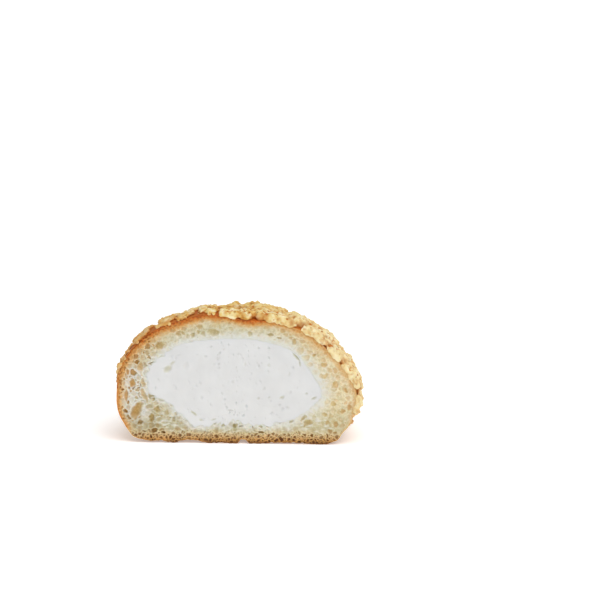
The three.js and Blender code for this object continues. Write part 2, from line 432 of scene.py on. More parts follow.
cream_points = coordinates(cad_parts["cream"])
rim = cream_points[cream_points[:, 1] < -CUT_OFFSET + 0.01][:, [0, 2]]
cream_middle = (rim.min(0) + rim.max(0)) / 2
rim_angles = np.arctan2(rim[:, 1] - cream_middle[1], rim[:, 0] - cream_middle[0])
rim_radii = np.hypot(*(rim - cream_middle).T)
rim_order = np.argsort(rim_angles)


def angle_at(points):
    """The angle of points of the cut face round the middle of the cream."""
    return np.arctan2(points[:, 2] - cream_middle[1], points[:, 0] - cream_middle[0])


def radius_at(points):
    """The distance of points of the cut face from the middle of the cream."""
    return np.hypot(points[:, 0] - cream_middle[0], points[:, 2] - cream_middle[1])


def at_cut(angles, radii):
    """Points of the cut face at angles and radii round the middle of the cream."""
    x = cream_middle[0] + radii * np.cos(angles)
    z = cream_middle[1] + radii * np.sin(angles)
    return np.stack([x, np.full_like(x, -CUT_OFFSET), z], axis=1)


def by_angle(angles, table):
    """The values of a table of angles in degrees and values, at angles in radians."""
    table_angles, table_values = np.array(table).T
    return np.interp(np.degrees(angles), table_angles, table_values, period=360)


def low_left(angles):
    """How far angles point down or to the left, from 0 to 1."""
    return np.clip(0.4 - 0.8 * np.sin(angles + 0.5), 0, 1)


def cream_radius(angles):
    """Distance from the middle of the cream to its ragged edge."""
    smooth = np.mean([
        np.interp(angles + step, rim_angles[rim_order], rim_radii[rim_order], period=2 * np.pi)
        for step in RIM_SMOOTHING
    ], axis=0)
    edge = at_cut(angles, smooth)
    ragged = CREAM_RAGGED + CREAM_TORN * low_left(angles)
    ragged *= ripple(edge, TEAR_SIZE, 4) + SHRED_SHARE * ripple(edge, SHRED_SIZE, 5)
    return smooth - by_angle(angles, CREAM_COVERED) + ragged


print("cream outline", np.ptp(rim, axis=0).round(1), "mm round", cream_middle.round(1))

# %% Extrude the cut edge to the outline of the cream and split the strip into rings
FACE_RINGS = 56
SNAP = 0.1  # vertices this close to the cut are laid on it
CLOSE = 1e-3  # what counts as on a surface

inner_loop = extrude_to(
    loaf, cut_loop, lambda edge: at_cut(angle_at(edge), cream_radius(angle_at(edge)))
)
one_inside = inner_loop[edge_ends(loaf)].sum(axis=1) == 1
edit(loaf, edges=one_inside)
bpy.ops.mesh.subdivide_edgering(number_cuts=FACE_RINGS - 1, interpolation="LINEAR", smoothness=0)
bpy.ops.object.mode_set(mode="OBJECT")
points = coordinates(loaf)
points[np.abs(points[:, 1] + CUT_OFFSET) < SNAP, 1] = -CUT_OFFSET
place(loaf, points)
print("cut face split,", triangles(loaf), "triangles")

# %% [markdown]
# Behind the face the loaf is hollow where the cream sits. Nobody sees it, so a few coarse rings are enough.
# They follow the filling back into the bun and end in one point.

# %% Extrude the hollow for the cream
HOLLOW_DEPTHS = (-3, 6, 16, 26, 33, 36.5)  # along Y, back to the end of the hollow
CREAM_DEPTH = 38.0
CREAM_GAP = 0.3


def filling_girth(depth):
    """How wide the filling is at a depth, as a share of its outline at the cut."""
    return math.sqrt(1 - (depth / CREAM_DEPTH) ** 2) / math.sqrt(1 - (CUT_OFFSET / CREAM_DEPTH) ** 2)


def filling_ring(depth, gap):
    """The rule that moves a loop of the filling's outline to a depth, with a gap round it."""
    def rule(edge):
        angles = angle_at(edge)
        moved = at_cut(angles, cream_radius(angles) * filling_girth(depth) + gap)
        moved[:, 1] = depth
        return moved
    return rule


def run_back(piece, loop, depths, gap):
    """Extrudes a loop of the cream's outline back to the depths and closes it in one point."""
    for depth in depths:
        loop = extrude_to(piece, loop, filling_ring(depth, gap))
    edit(piece, vertices=loop)
    bpy.ops.mesh.merge(type="CENTER")
    bpy.ops.mesh.select_all(action="SELECT")
    bpy.ops.mesh.normals_make_consistent(inside=False)
    bpy.ops.object.mode_set(mode="OBJECT")


points = coordinates(loaf)
on_face = np.abs(points[:, 1] + CUT_OFFSET) < CLOSE
at_cream = np.abs(radius_at(points) - cream_radius(angle_at(points))) < CLOSE
run_back(loaf, on_face & at_cream, HOLLOW_DEPTHS, CREAM_GAP)
print("loaf closed,", triangles(loaf), "triangles")

# %% [markdown]
# Gas cells
#
# The crumb is a foam. Yeast blew cells of many sizes: open and deep on the left, wide but shallow on the
# right, pressed flat near the crust and mostly very fine in the browned layer above the base. A shader's
# bump could fake them, but they are deep enough to cast shadows, so the rings of vertices are pushed in.
# Circles of falling size are thrown at the face, each keeps clear of the others, and the walls run midway
# between them, as in a heap of soap bubbles.


# %% How far each vertex of the face is from the crust and from the cream
def tree_of(places):
    """A tree that finds the nearest of the places."""
    tree = kdtree.KDTree(len(places))
    for index, spot in enumerate(places):
        tree.insert(spot, index)
    tree.balance()
    return tree


def nearest_distance(queries, targets):
    """Distance from each query to the nearest target, and which target that is."""
    tree = tree_of(targets)
    found = [tree.find(query) for query in queries]
    return np.array([f[2] for f in found]), np.array([f[1] for f in found])


points = coordinates(loaf)
face = np.flatnonzero(np.abs(points[:, 1] + CUT_OFFSET) < CLOSE)
face_points = points[face]
face_x, _, face_z = face_points.T
face_angles = angle_at(face_points)
outline = points[np.flatnonzero(cut_loop)]
outline = outline[np.argsort(angle_at(outline))]
all_round = np.linspace(-np.pi, np.pi, AROUND)
from_crust, nearest_crust = nearest_distance(face_points, outline)
from_cream, _ = nearest_distance(face_points, at_cut(all_round, cream_radius(all_round)))
print("face of", len(face), "vertices, crumb up to", (from_crust + from_cream).max().round(1), "mm wide")

# %% Throw the gas cells
CELL_SEED = 11
CELL_THROWS = 30000
CELL_LARGEST = 1.3  # radius
CELL_SMALLEST = 0.3
CELL_OVERLAP = 1  # how far cells may lie under the cream
SKIN_LAYER = 1.5  # cells this close to the crust are smaller
SKIN_CELL_SHARE = 0.7
BASE_LAYER = 4.8  # height of the browned layer above the base
BASE_CELLS = (0.26, 0.8)  # radii of the cells in it
CRUST_PRESS = 2.6  # how much wider the foam would be near the crust if it weren't pressed flat there
# From left to right: x, and what the cells have there
SIZE_BIAS = ([12, 28], [2, 0.9])  # a high bias makes wide cells rare
BASE_SIZE_BIAS = ([-25, -5], [3, 9])
OPENNESS = ([-38, -30, 30], [1.0, 0.6, 0.28])  # depth as a share of the radius
SOFTNESS = ([-38, -30, 20, 30], [0.45, 0.7, 0.65, 0.5])  # width of the slope as a share of the radius
SHADE = ([-36, -26, 20, 30], [1.1, 0.85, 0.8, 0.55])  # how dark their floor is, in depth and in painted shade
# From the bottom up: z, and the share of that shade
LOW_SHADE = ([6, 14], [0.8, 1])
CELL_SHADES = (0.15, 1)  # no two cells are equally dark
BASE_SHADES = (0.6, 1)
BASE_OPENNESS = 1
BASE_SOFTNESS = 0.6

chance = np.random.default_rng(CELL_SEED)
margin = np.array([CRUST_PRESS, 0, CRUST_PRESS])
low_corner, high_corner = face_points.min(0) - margin, face_points.max(0) + margin
throws = low_corner + chance.random((CELL_THROWS, 3)) * (high_corner - low_corner)
throws[:, 1] = -CUT_OFFSET
throws = throws[radius_at(throws) > cream_radius(angle_at(throws)) - CELL_OVERLAP]
bias = np.interp(throws[:, 0], *SIZE_BIAS)
sizes = CELL_SMALLEST + (CELL_LARGEST - CELL_SMALLEST) * chance.random(len(throws)) ** bias
sizes *= np.where(above_skin(throws)[0] > -SKIN_LAYER, SKIN_CELL_SHARE, 1)
bias = np.interp(throws[:, 0], *BASE_SIZE_BIAS)
base_sizes = BASE_CELLS[0] + np.ptp(BASE_CELLS) * chance.random(len(throws)) ** bias
sizes = np.where(throws[:, 2] < BASE_LAYER, base_sizes, sizes)

taken = np.zeros((0, 3))
for index in np.argsort(-sizes):
    x, z, size = throws[index, 0], throws[index, 2], sizes[index]
    if np.all(np.hypot(taken[:, 0] - x, taken[:, 1] - z) > taken[:, 2] + size):
        taken = np.vstack([taken, (x, z, size)])
in_base = taken[:, 1] < BASE_LAYER
cell_openness = np.where(in_base, BASE_OPENNESS, np.interp(taken[:, 0], *OPENNESS))
cell_softness = np.where(in_base, BASE_SOFTNESS, np.interp(taken[:, 0], *SOFTNESS))
cell_shade = chance.uniform(*CELL_SHADES, len(taken)) * np.interp(taken[:, 0], *SHADE)
cell_shade *= np.interp(taken[:, 1], *LOW_SHADE)
cell_shade[in_base] = chance.uniform(*BASE_SHADES, in_base.sum())
print(len(taken), "gas cells")

# %% Find the cell of each vertex and how deep it is there
WALL = 0.1  # half of a wall between two cells
NEIGHBOURS = 10
PRESS_DEPTH = 3  # how far in from the crust the foam is pressed
PRESS_RISE = (3, 8)  # heights between which the pressing sets in, because the base isn't pressed
WALL_WARPS = [(0.6, 1.4), (0.5, 4)]  # walls in a foam are crooked: how far they are moved, over what size

inward = face_points - outline[nearest_crust]
inward /= np.maximum(from_crust, 1e-6)[:, None]
press = CRUST_PRESS * np.exp(-from_crust / PRESS_DEPTH) * between(face_z, *PRESS_RISE)
foam = face_points - inward * press[:, None]
for axis, seed in ((0, 15), (2, 17)):
    foam[:, axis] += sum(
        reach * ripple(face_points, size, seed + k) for k, (reach, size) in enumerate(WALL_WARPS)
    )
foam_tree = tree_of([(x, 0, z) for x, z, _ in taken])
cell_depth = np.zeros(len(face_points))
cell_share = np.zeros(len(face_points))
for index, (x, _, z) in enumerate(foam):
    near = foam_tree.find_n((x, 0, z), NEIGHBOURS)
    gaps = sorted((distance - taken[cell, 2], cell) for _, cell, distance in near)
    cell = gaps[0][1]
    wall_distance = (gaps[1][0] - gaps[0][0]) / 2
    slope = min(max((wall_distance - WALL) / (cell_softness[cell] * taken[cell, 2]), 0), 1)
    cell_share[index] = cell_shade[cell] * (1 - (1 - slope) ** 2)
    cell_depth[index] = taken[cell, 2] * cell_openness[cell] * cell_share[index]
print("thrown cells up to", cell_depth.max().round(1), "mm deep")

# %% [markdown]
# The largest cells are what the eye remembers of a slice of bread, so they are listed one by one: the big
# torn ones on the left, the round tanned ones on the right, and the small ragged ones between the cream and
# the base. Cells in a foam have corners, so each oval gets a few sides.

# %% Push the cells into the face
# The large cells: x, z, half length, half width, tilt in degrees and depth
LARGE_CELLS = [
    (-41.7, 13.6, 4.2, 2.4, 60, 1.3), (-43.4, 25.0, 2.0, 1.4, 95, 0.9), (-46.3, 19.5, 2.6, 1.1, 85, 0.8),
    (-45.3, 29.6, 1.5, 0.9, 80, 0.7), (-31.8, 40.9, 2.2, 1.9, 35, 0.8), (-9.5, 46.6, 2.4, 1.8, -10, 0.8),
    (-38.3, 19.8, 3.3, 1.2, -70, 0.6), (-38.6, 25.2, 1.7, 1.1, 90, 0.6), (-39.8, 31.5, 2.0, 1.5, 70, 0.6),
    (-34.7, 18.3, 1.0, 0.8, 90, 0.9), (-33.0, 14.0, 1.5, 1.1, 70, 0.8), (-35.3, 10.1, 1.9, 1.1, 85, 1.0),
    (-34.0, 4.6, 1.4, 1.1, 0, 1.2), (-30.6, 4.1, 0.9, 0.8, 0, 1.0), (-18.2, 45.5, 1.4, 1.0, 80, 0.8),
    (4.8, 46.4, 1.7, 1.1, 90, 0.7), (13.5, 46.2, 1.4, 1.0, 0, 0.7), (17.1, 44.7, 0.9, 0.6, 0, 0.6),
    (23.1, 43.0, 1.7, 1.1, 80, 0.5), (31.0, 38.0, 1.1, 0.9, 0, 0.4), (44.4, 23.2, 1.3, 1.1, 0, 0.35),
    (46.6, 15.4, 1.3, 1.2, 0, 0.35), (40.4, 8.2, 1.4, 1.1, 90, 0.35), (38.0, 5.6, 1.4, 1.1, 0, 0.35),
    (25.7, 39.3, 1.8, 1.3, 20, 0.3), (27.8, 36.5, 1.7, 1.4, 0, 0.3), (29.7, 33.7, 1.3, 1.2, 0, 0.25),
    (35.7, 33.7, 1.7, 1.1, 30, 0.3), (34.9, 28.9, 1.8, 1.1, 10, 0.3), (39.9, 25.3, 1.6, 1.1, 60, 0.3),
    (39.0, 17.3, 1.3, 1.2, 0, 0.3), (43.4, 14.0, 1.3, 1.1, 20, 0.3), (35.5, 12.6, 1.3, 1.1, 0, 0.3),
    (36.7, 9.2, 1.1, 0.9, 0, 0.3), (40.4, 5.0, 0.9, 0.8, 0, 0.3),
    (-12.2, 8.7, 1.3, 0.4, 20, 0.9), (-9.6, 8.0, 0.7, 0.4, 60, 0.8), (-6.0, 7.2, 1.2, 0.6, 10, 0.6),
    (-1.1, 6.9, 1.2, 0.9, 30, 0.8), (1.4, 7.0, 1.1, 0.4, 10, 0.5), (6.2, 7.0, 0.8, 0.5, 70, 0.6),
    (9.1, 6.8, 0.7, 0.5, 0, 0.6), (12.6, 7.1, 1.1, 0.7, 10, 0.7), (17.2, 8.5, 0.8, 0.5, 60, 0.7),
    (21.8, 9.3, 1.2, 0.6, 30, 0.7), (26.8, 10.9, 1.6, 0.9, 40, 0.7), (28.8, 8.8, 2.2, 1.3, 20, 0.6),
]
CELL_SIDES = 6
SIDE_JITTER = 0.35  # how far a side is turned, as a share of the angle between two sides
CELL_ANGULAR = 0.65  # from an oval at 0 to straight sides at 1
LARGE_WALL = 0.35  # round each large cell
CRUST_RIM = 0.4  # cells reach their depth this far inside the crust
FILM_FILLS = 0.85  # how much of the nearest cells the film of cream fills
FILM_TORN = 0.6  # how much less low down and on the left
FILM_FADE = 1.6  # how far from the cream that reaches
FIBRE_REACH = 5  # how far from the cream fibres stand up
FIBRE_HEIGHT = 0.45
SLICE_WAVES = (0.14, 2.6)  # the knife leaves no plane: height and size
SLICE_GRAIN = (0.07, 0.9)
SLICE_RIM = 0.8  # but the rims of the slice stay sharp


def across_oval(places, x, z, long, wide, tilt):
    """Where places are along and across a tilted oval, as shares of its half length and half width."""
    turn = math.radians(tilt)
    dx, dz = places[:, 0] - x, places[:, 2] - z
    along = (dx * math.cos(turn) + dz * math.sin(turn)) / long
    aside = (dz * math.cos(turn) - dx * math.sin(turn)) / wide
    return along, aside


for x, z, long, wide, tilt, depth in LARGE_CELLS:
    along, aside = across_oval(foam, x, z, long, wide, tilt)
    turned = chance.uniform(-SIDE_JITTER, SIDE_JITTER, CELL_SIDES)
    sides = (np.arange(CELL_SIDES) + turned) * 2 * math.pi / CELL_SIDES
    angular = np.max([along * math.cos(side) + aside * math.sin(side) for side in sides], axis=0)
    share = CELL_ANGULAR * angular + (1 - CELL_ANGULAR) * np.hypot(along, aside)
    beside = np.clip((share - 1) * wide / LARGE_WALL, 0, 1)
    bowl = np.maximum(1 - share**4, 0)
    cell_depth = cell_depth * beside + depth * bowl
    cell_share = cell_share * beside + min(0.7 + 0.3 * depth, 1) * np.sqrt(bowl)

# Cells are shallow next to the crust and under the film of cream, and fibres stand up low down on the left
low_left_share = low_left(face_angles)
filled = (FILM_FILLS - FILM_TORN * low_left_share) * np.exp(-from_cream / FILM_FADE)
fade = between(from_crust, 0, CRUST_RIM) * (1 - filled)
fibres = FIBRE_HEIGHT * low_left_share * np.exp(-from_cream / FIBRE_REACH)
unevenness = SLICE_WAVES[0] * ripple(face_points, SLICE_WAVES[1], 6)
unevenness += (SLICE_GRAIN[0] + fibres) * ripple(face_points, SLICE_GRAIN[1], 7)
unevenness *= between(np.minimum(from_crust, from_cream), 0, SLICE_RIM)
points[face, 1] += cell_depth * fade + unevenness
place(loaf, points)
print("cells up to", cell_depth.max().round(1), "mm deep,", len(LARGE_CELLS), "of them placed by hand")

# %% [markdown]
# What the crumb's colour depends on
#
# The crust line is orange brown and fades into the crumb. It is wide on the left, thinner over the top and
# nearly gone at the lower right, and cells near it are tanned. The lowest few millimetres are browned by
# the tray. Cream is smeared into the crumb next to the filling, over the walls of the open cells on the
# left, and in streaks low down. These amounts are stored on the vertices, because they follow the cut and
# not any axis.

# %% Store the crumb's amounts on the vertices
# Width of the crust line in millimetres at angles in degrees round the middle of the cream
CRUST_LINE = [
    (-180, 1.8), (-150, 1.5), (-120, 0.5), (-90, 0.3), (-60, 0.3), (-30, 0.6), (-10, 1.2), (10, 2.0),
    (35, 2.0), (60, 1.5), (90, 1.6), (120, 1.9), (150, 1.8),
]
# How dark its outer edge is
CRUST_DARKNESS = [(-180, 0.66), (-60, 0.35), (0, 0.45), (45, 0.62), (80, 1), (150, 0.95)]
# How far from the crust the cells are still tanned
CRUST_WARMTH = [
    (-180, 11.0), (-120, 4.0), (-60, 4.0), (-20, 8.0), (20, 6.5), (60, 2.0), (120, 2.5), (150, 4.5),
]
# How far cream is smeared into the crumb
SMEAR_REACH = [(-180, 1.6), (-90, 1.3), (-40, 2.5), (0, 3.6), (40, 3.0), (90, 2.0)]
SMEAR_START = 1.0  # past the edge of the cream
BASE_BLUR = 0.7  # how softly the browned layer ends
LINE_WAVES = (0.35, 5)  # how much the line's width varies, over what size
LINE_SPECKS = (0.3, 0.8)  # and its darkness
BASE_WAVES = (0.25, 4)  # and the height of the browned layer
SMEAR_WAVES = (0.25, 1.6)  # and the smeared cream
BASE_HIDES_LINE = 0.8
# Where walls of the open cells on the left are smeared: from none to all, along X and Z and off the crust
OPEN_X = (-34, -38)
OPEN_BOTTOM = (8, 12)
OPEN_TOP = (34, 30)
OPEN_INSIDE = (1.5, 3.5)
OPEN_SMEAR = 0.85
STREAK_STRETCH = np.array([0.5, 1, 1.3])  # fibres run sideways
STREAK_SIZE = 1.1
STREAK_TOP = (15, 10)  # from none to all, along Z
STREAK_SIDES = (42, 36)  # and to either side
STREAK_SMEAR = 0.9

line_width = by_angle(face_angles, CRUST_LINE) * (1 + LINE_WAVES[0] * ripple(face_points, LINE_WAVES[1], 8))
base_top = BASE_LAYER * (1 + BASE_WAVES[0] * ripple(face_points, BASE_WAVES[1], 9))
base_amount = 1 / (1 + np.exp((face_z - base_top) / BASE_BLUR))
crust_amount = np.exp(-(from_crust / (1.5 * line_width)) ** 1.3) * (1 - BASE_HIDES_LINE * base_amount)
crust_amount *= by_angle(face_angles, CRUST_DARKNESS)
crust_amount *= 1 + LINE_SPECKS[0] * ripple(face_points, LINE_SPECKS[1], 28)
warmth = np.exp(-(from_crust / by_angle(face_angles, CRUST_WARMTH)) ** 1.5)
past_film = np.maximum(from_cream - SMEAR_START, 0)
next_to_cream = np.exp(-(past_film / by_angle(face_angles, SMEAR_REACH)) ** 1.5)
next_to_cream += SMEAR_WAVES[0] * ripple(face_points, SMEAR_WAVES[1], 10)
open_left = between(face_x, *OPEN_X) * between(from_crust, *OPEN_INSIDE)
open_left *= between(face_z, *OPEN_TOP) * between(face_z, *OPEN_BOTTOM)
streaks = np.clip(3 * ripple(face_points * STREAK_STRETCH, STREAK_SIZE, 29) - 0.1, 0, 1)
streaks *= between(face_z, *STREAK_TOP) * between(np.abs(face_x), *STREAK_SIDES)
smear_amount = np.max([next_to_cream, OPEN_SMEAR * open_left, STREAK_SMEAR * streaks], axis=0)
smear_amount = np.clip(smear_amount, 0, 1) * (1 - base_amount)

# The pore amount carries painted shade: the material paints the crumb darker and yellower by it, towards the
# floor of each cell.
pore_amount = cell_share * fade
for name, on_cut in [
    ("pore", pore_amount), ("crust_line", crust_amount),
    ("browned_base", base_amount), ("smear", smear_amount), ("warmth", warmth),
]:
    values = np.zeros(len(points))
    values[face] = on_cut
    paint(loaf, name, values)
print("mean pore", pore_amount.mean().round(2), "mean smear", smear_amount.mean().round(2))

# %% [markdown]
# Baked crust
#
# The skin of an egg-washed bun: starch and sugar browned in the oven, smooth and slightly glossy. It is a
# deep orange brown at the crown, where the oven was hottest, and a paler brown towards the waist. The
# underside is a matt brown. Colour changes slowly, over a centimetre, with fine darker freckles.


# %% Helpers for materials
def per_mm(size):
    """The scale of a texture whose features have this size in millimetres."""
    return 1 / (size * MM)


def new_material(name):
    """A new material, its shader, and the place on the piece in Object coordinates."""
    material = bpy.data.materials.new(name)
    material.use_nodes = True
    where = add_node(material, "ShaderNodeTexCoord").outputs["Object"]
    return material, material.node_tree.nodes["Principled BSDF"], where


MIX_FACTOR, MIX_A, MIX_B, MIX_RESULT = 0, 6, 7, 2  # colour sockets of the Mix node


def tinted(material, colour, tints):
    """Lays tints over a colour. Each has what it follows, from where to where, its share and its colour."""
    for follows, start, strongest, share, hex_colour in tints:
        amount = add_node(
            material, "ShaderNodeMapRange",
            {"Value": follows, "From Min": start, "From Max": strongest, "To Max": share},
        )
        layer = add_node(
            material, "ShaderNodeMix",
            {MIX_FACTOR: amount.outputs["Result"], MIX_A: colour, MIX_B: linear(hex_colour)},
            data_type="RGBA",
        )
        colour = layer.outputs[MIX_RESULT]
    return colour


# %% Baked crust
PATCH_WEIGHT = 0.9  # how much patches count beside the height

baked_crust, shader, where = new_material("baked_crust")
axes = add_node(baked_crust, "ShaderNodeSeparateXYZ", {"Vector": where}).outputs
patches = add_node(baked_crust, "ShaderNodeTexNoise", {"Vector": where, "Scale": per_mm(9), "Detail": 4})
height = add_node(
    baked_crust, "ShaderNodeMapRange", {"Value": axes["Z"], "From Min": 4 * MM, "From Max": 46 * MM}
)
bake = add_node(
    baked_crust, "ShaderNodeMath",
    {0: patches.outputs["Fac"], 1: PATCH_WEIGHT, 2: height.outputs["Result"]}, operation="MULTIPLY_ADD",
)
bake_share = add_node(
    baked_crust, "ShaderNodeMath", {0: bake.outputs[0], 1: 1 + PATCH_WEIGHT}, operation="DIVIDE"
)
skin = add_node(
    baked_crust, "ShaderNodeValToRGB", {"Fac": bake_share.outputs[0]},
    stops=[(0.12, "#c0905a"), (0.3, "#cb9a58"), (0.55, "#c67c30"), (0.85, "#b75c10")],
)
freckles = add_node(baked_crust, "ShaderNodeTexNoise", {"Vector": where, "Scale": per_mm(0.8), "Detail": 3})
browned = tinted(baked_crust, skin.outputs["Color"], [
    (freckles.outputs["Fac"], 0.55, 0.75, 0.35, "#8a4214"),
    (axes["Z"], 3.5 * MM, 0.2 * MM, 0.85, "#8b5426"),  # the underside
])
wrinkles = add_node(baked_crust, "ShaderNodeTexNoise", {"Vector": where, "Scale": per_mm(1.2), "Detail": 5})
relief = add_node(
    baked_crust, "ShaderNodeBump",
    {"Height": wrinkles.outputs["Fac"], "Strength": 0.5, "Distance": 0.25 * MM},
)
connect(baked_crust, shader, {
    "Base Color": browned, "Normal": relief.outputs["Normal"], "Roughness": 0.6, "Specular IOR Level": 0.25,
    "Subsurface Weight": 0.1, "Subsurface Scale": 1.0 * MM,
})
print("material", baked_crust.name, "with", len(baked_crust.node_tree.nodes), "nodes")

# %% [markdown]
# Open crumb
#
# Soft white bread: gelled starch walls round the gas cells. Walls are thin and let light through, so the
# crumb glows and its shadows are warm. The cells are painted darker and yellower towards their floor:
# painted shade, for light that comes out of them through more bread. The walls are painted brighter towards
# the right, partly painted light from the key light on that side and partly their own yellower tone. Layers
# of colour lie over that: a greyer, darker tone low down, smeared cream, the browned base and the crust
# line.

# %% Open crumb: walls and cells
open_crumb, shader, where = new_material("open_crumb")
axes = add_node(open_crumb, "ShaderNodeSeparateXYZ", {"Vector": where}).outputs
amount = {
    name: add_node(open_crumb, "ShaderNodeAttribute", attribute_name=name).outputs["Fac"]
    for name in ("pore", "crust_line", "browned_base", "smear", "warmth")
}
# The walls are painted brighter towards the right: partly painted light from the key light on that side,
# partly their own yellower tone.
to_right = add_node(
    open_crumb, "ShaderNodeMapRange", {"Value": axes["X"], "From Min": -40 * MM, "From Max": 40 * MM}
)
wall = add_node(
    open_crumb, "ShaderNodeValToRGB", {"Fac": to_right.outputs["Result"]},
    stops=[(0.0, "#e0d8c0"), (0.5, "#ded9c0"), (1.0, "#f1e6c6")],
)
web = add_node(
    open_crumb, "ShaderNodeTexNoise", {"Vector": where, "Scale": per_mm(1.1), "Detail": 5, "Roughness": 0.7}
)
web_shade = add_node(
    open_crumb, "ShaderNodeValToRGB", {"Fac": web.outputs["Fac"]},
    stops=[(0.36, "#dedac6"), (0.64, "#ffffff")],
)
# Low down the crumb is painted greyer and darker.
lowness = add_node(
    open_crumb, "ShaderNodeMapRange", {"Value": axes["Z"], "From Min": 18 * MM, "From Max": 6 * MM}
)

# %% Open crumb: the browned base and the crust line
base_height = add_node(
    open_crumb, "ShaderNodeMapRange", {"Value": axes["Z"], "From Min": 0, "From Max": 5 * MM}
)
base_wall = add_node(
    open_crumb, "ShaderNodeValToRGB", {"Fac": base_height.outputs["Result"]},
    stops=[(0.0, "#643611"), (0.32, "#cb9750"), (1.0, "#e6d3a4")],
)
# The cells of the base are painted darker than its walls, as painted shade.
base_pore = add_node(
    open_crumb, "ShaderNodeValToRGB", {"Fac": base_height.outputs["Result"]},
    stops=[(0.0, "#3f1d08"), (0.4, "#703f14"), (1.0, "#9c7340")],
)
base_pore_share = add_node(
    open_crumb, "ShaderNodeMath", {0: amount["pore"], 1: 1.2}, operation="MULTIPLY", use_clamp=True
)
base = add_node(
    open_crumb, "ShaderNodeMix",
    {MIX_FACTOR: base_pore_share.outputs[0], MIX_A: base_wall.outputs["Color"],
     MIX_B: base_pore.outputs["Color"]},
    data_type="RGBA",
)
line = add_node(
    open_crumb, "ShaderNodeValToRGB", {"Fac": amount["crust_line"]},
    stops=[(0.0, "#e6d7ae"), (0.35, "#dfb16c"), (0.6, "#d0924c"), (0.8, "#cd7420"), (1.0, "#a64f0c")],
)
line_share = add_node(
    open_crumb, "ShaderNodeMapRange", {"Value": amount["crust_line"], "From Min": 0.08, "From Max": 0.5}
)
# The cells of the crust line are painted darker too, as painted shade.
line_pore_share = add_node(
    open_crumb, "ShaderNodeMath", {0: amount["pore"], 1: amount["crust_line"]}, operation="MULTIPLY"
)

# %% Open crumb: lay the layers over each other
wall_share = add_node(open_crumb, "ShaderNodeMath", {0: 1.0, 1: amount["pore"]}, operation="SUBTRACT")
smear_share = add_node(
    open_crumb, "ShaderNodeMath", {0: amount["smear"], 1: wall_share.outputs[0]}, operation="MULTIPLY"
)
colour = wall.outputs["Color"]
# Each layer has its share, its colour and how it is mixed. The first two make the floor of a cell, painted
# darker and yellower as painted shade, and the third lays the walls over it.
for share, over, blend_type in [
    (1.0, linear("#eadbb0"), "MULTIPLY"),
    (amount["warmth"], linear("#d99c48"), "MIX"),
    (wall_share.outputs[0], wall.outputs["Color"], "MIX"),
    (1.0, web_shade.outputs["Color"], "MULTIPLY"),
    (lowness.outputs["Result"], linear("#e1e5e2"), "MULTIPLY"),
    (smear_share.outputs[0], linear("#dfded5"), "MIX"),
    (amount["browned_base"], base.outputs[MIX_RESULT], "MIX"),
    (line_share.outputs["Result"], line.outputs["Color"], "MIX"),
    (line_pore_share.outputs[0], linear("#9c5c22"), "MIX"),
]:
    layer = add_node(
        open_crumb, "ShaderNodeMix", {MIX_FACTOR: share, MIX_A: colour, MIX_B: over},
        data_type="RGBA", blend_type=blend_type,
    )
    colour = layer.outputs[MIX_RESULT]
fine_foam = add_node(
    open_crumb, "ShaderNodeTexVoronoi", {"Vector": where, "Scale": per_mm(0.55)}, feature="F1"
)
relief = add_node(
    open_crumb, "ShaderNodeBump",
    {"Height": fine_foam.outputs["Distance"], "Strength": 0.35, "Distance": 0.2 * MM}, invert=True,
)
connect(open_crumb, shader, {
    "Base Color": colour, "Normal": relief.outputs["Normal"], "Roughness": 0.85,
    "Subsurface Weight": 0.5, "Subsurface Radius": (1.0, 0.7, 0.4), "Subsurface Scale": 1.5 * MM,
})
print("material", open_crumb.name, "with", len(open_crumb.node_tree.nodes), "nodes")

# %% Dress the loaf: crumb on the cut face, crust all round
loaf.data.materials.append(baked_crust)
loaf.data.materials.append(open_crumb)
is_face = np.zeros(len(points), bool)
is_face[face] = True
for polygon in loaf.data.polygons:
    polygon.material_index = int(all(is_face[v] for v in polygon.vertices))
activate(loaf)
bpy.ops.object.shade_smooth_by_angle(angle=math.radians(75))
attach(loaf, "root")
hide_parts("bread")
print("loaf dressed,", triangles(loaf), "triangles")

# %% [markdown]
# The cream
#
# Stiff whipped cream, cut with the bun. Its face is flat, with small bubbles, a few torn hollows and faint
# drag marks of the blade. A grid is bent to the ragged outline, so that its squares stay even, and its
# border is extruded back into the hollow of the loaf. The knife pressed a film of cream into the nearest
# cells, so the grid runs on past the outline and dips into the crumb. The film is ragged, and short along
# the bottom.

# %% Bend a grid to the outline of the cream
GRID_ACROSS = 210
GRID_UP = 120
FILM_REACH = 1.6  # how far the film of cream runs over the crumb
FILM_SHORTEST = 0.4  # share of the reach that it has at the upper right
FILM_SHORTER_LOW = 0.6  # how much shorter it is along the bottom, where crumb was torn into the cream
FILM_RAGGED = 0.6
FILM_DIP = 0.5  # how deep its edge lies in the cells
FILM_CRUMB = 0.9  # how much crumb shows through its edge

bpy.ops.object.select_all(action="DESELECT")
bpy.ops.mesh.primitive_grid_add(
    x_subdivisions=GRID_ACROSS, y_subdivisions=GRID_UP, size=2, rotation=(math.radians(90), 0, 0)
)
filling = bpy.context.object
filling.name = "filling"
bpy.ops.object.transform_apply(location=True, rotation=True, scale=True)
square = coordinates(filling) * MM  # from -1 to 1 each way
round_x = square[:, 0] * np.sqrt(1 - square[:, 2] ** 2 / 2)
round_z = square[:, 2] * np.sqrt(1 - square[:, 0] ** 2 / 2)
grid_angles = np.arctan2(round_z, round_x)
grid_shares = np.hypot(round_x, round_z)
edge_radii = cream_radius(grid_angles)
film_reach = FILM_REACH * (FILM_SHORTEST + (1 - FILM_SHORTEST) * low_left(grid_angles))
film_reach *= 1 + FILM_SHORTER_LOW * np.minimum(np.sin(grid_angles), 0)
film_reach *= 1 + FILM_RAGGED * ripple(at_cut(grid_angles, edge_radii), 1.6, 30)
grid_radii = grid_shares * (edge_radii + film_reach)
past_edge = np.clip((grid_radii - edge_radii) / film_reach, 0, 1)
cream_face = at_cut(grid_angles, grid_radii)
place(filling, cream_face)
print("cream face of", len(cream_face), "vertices")

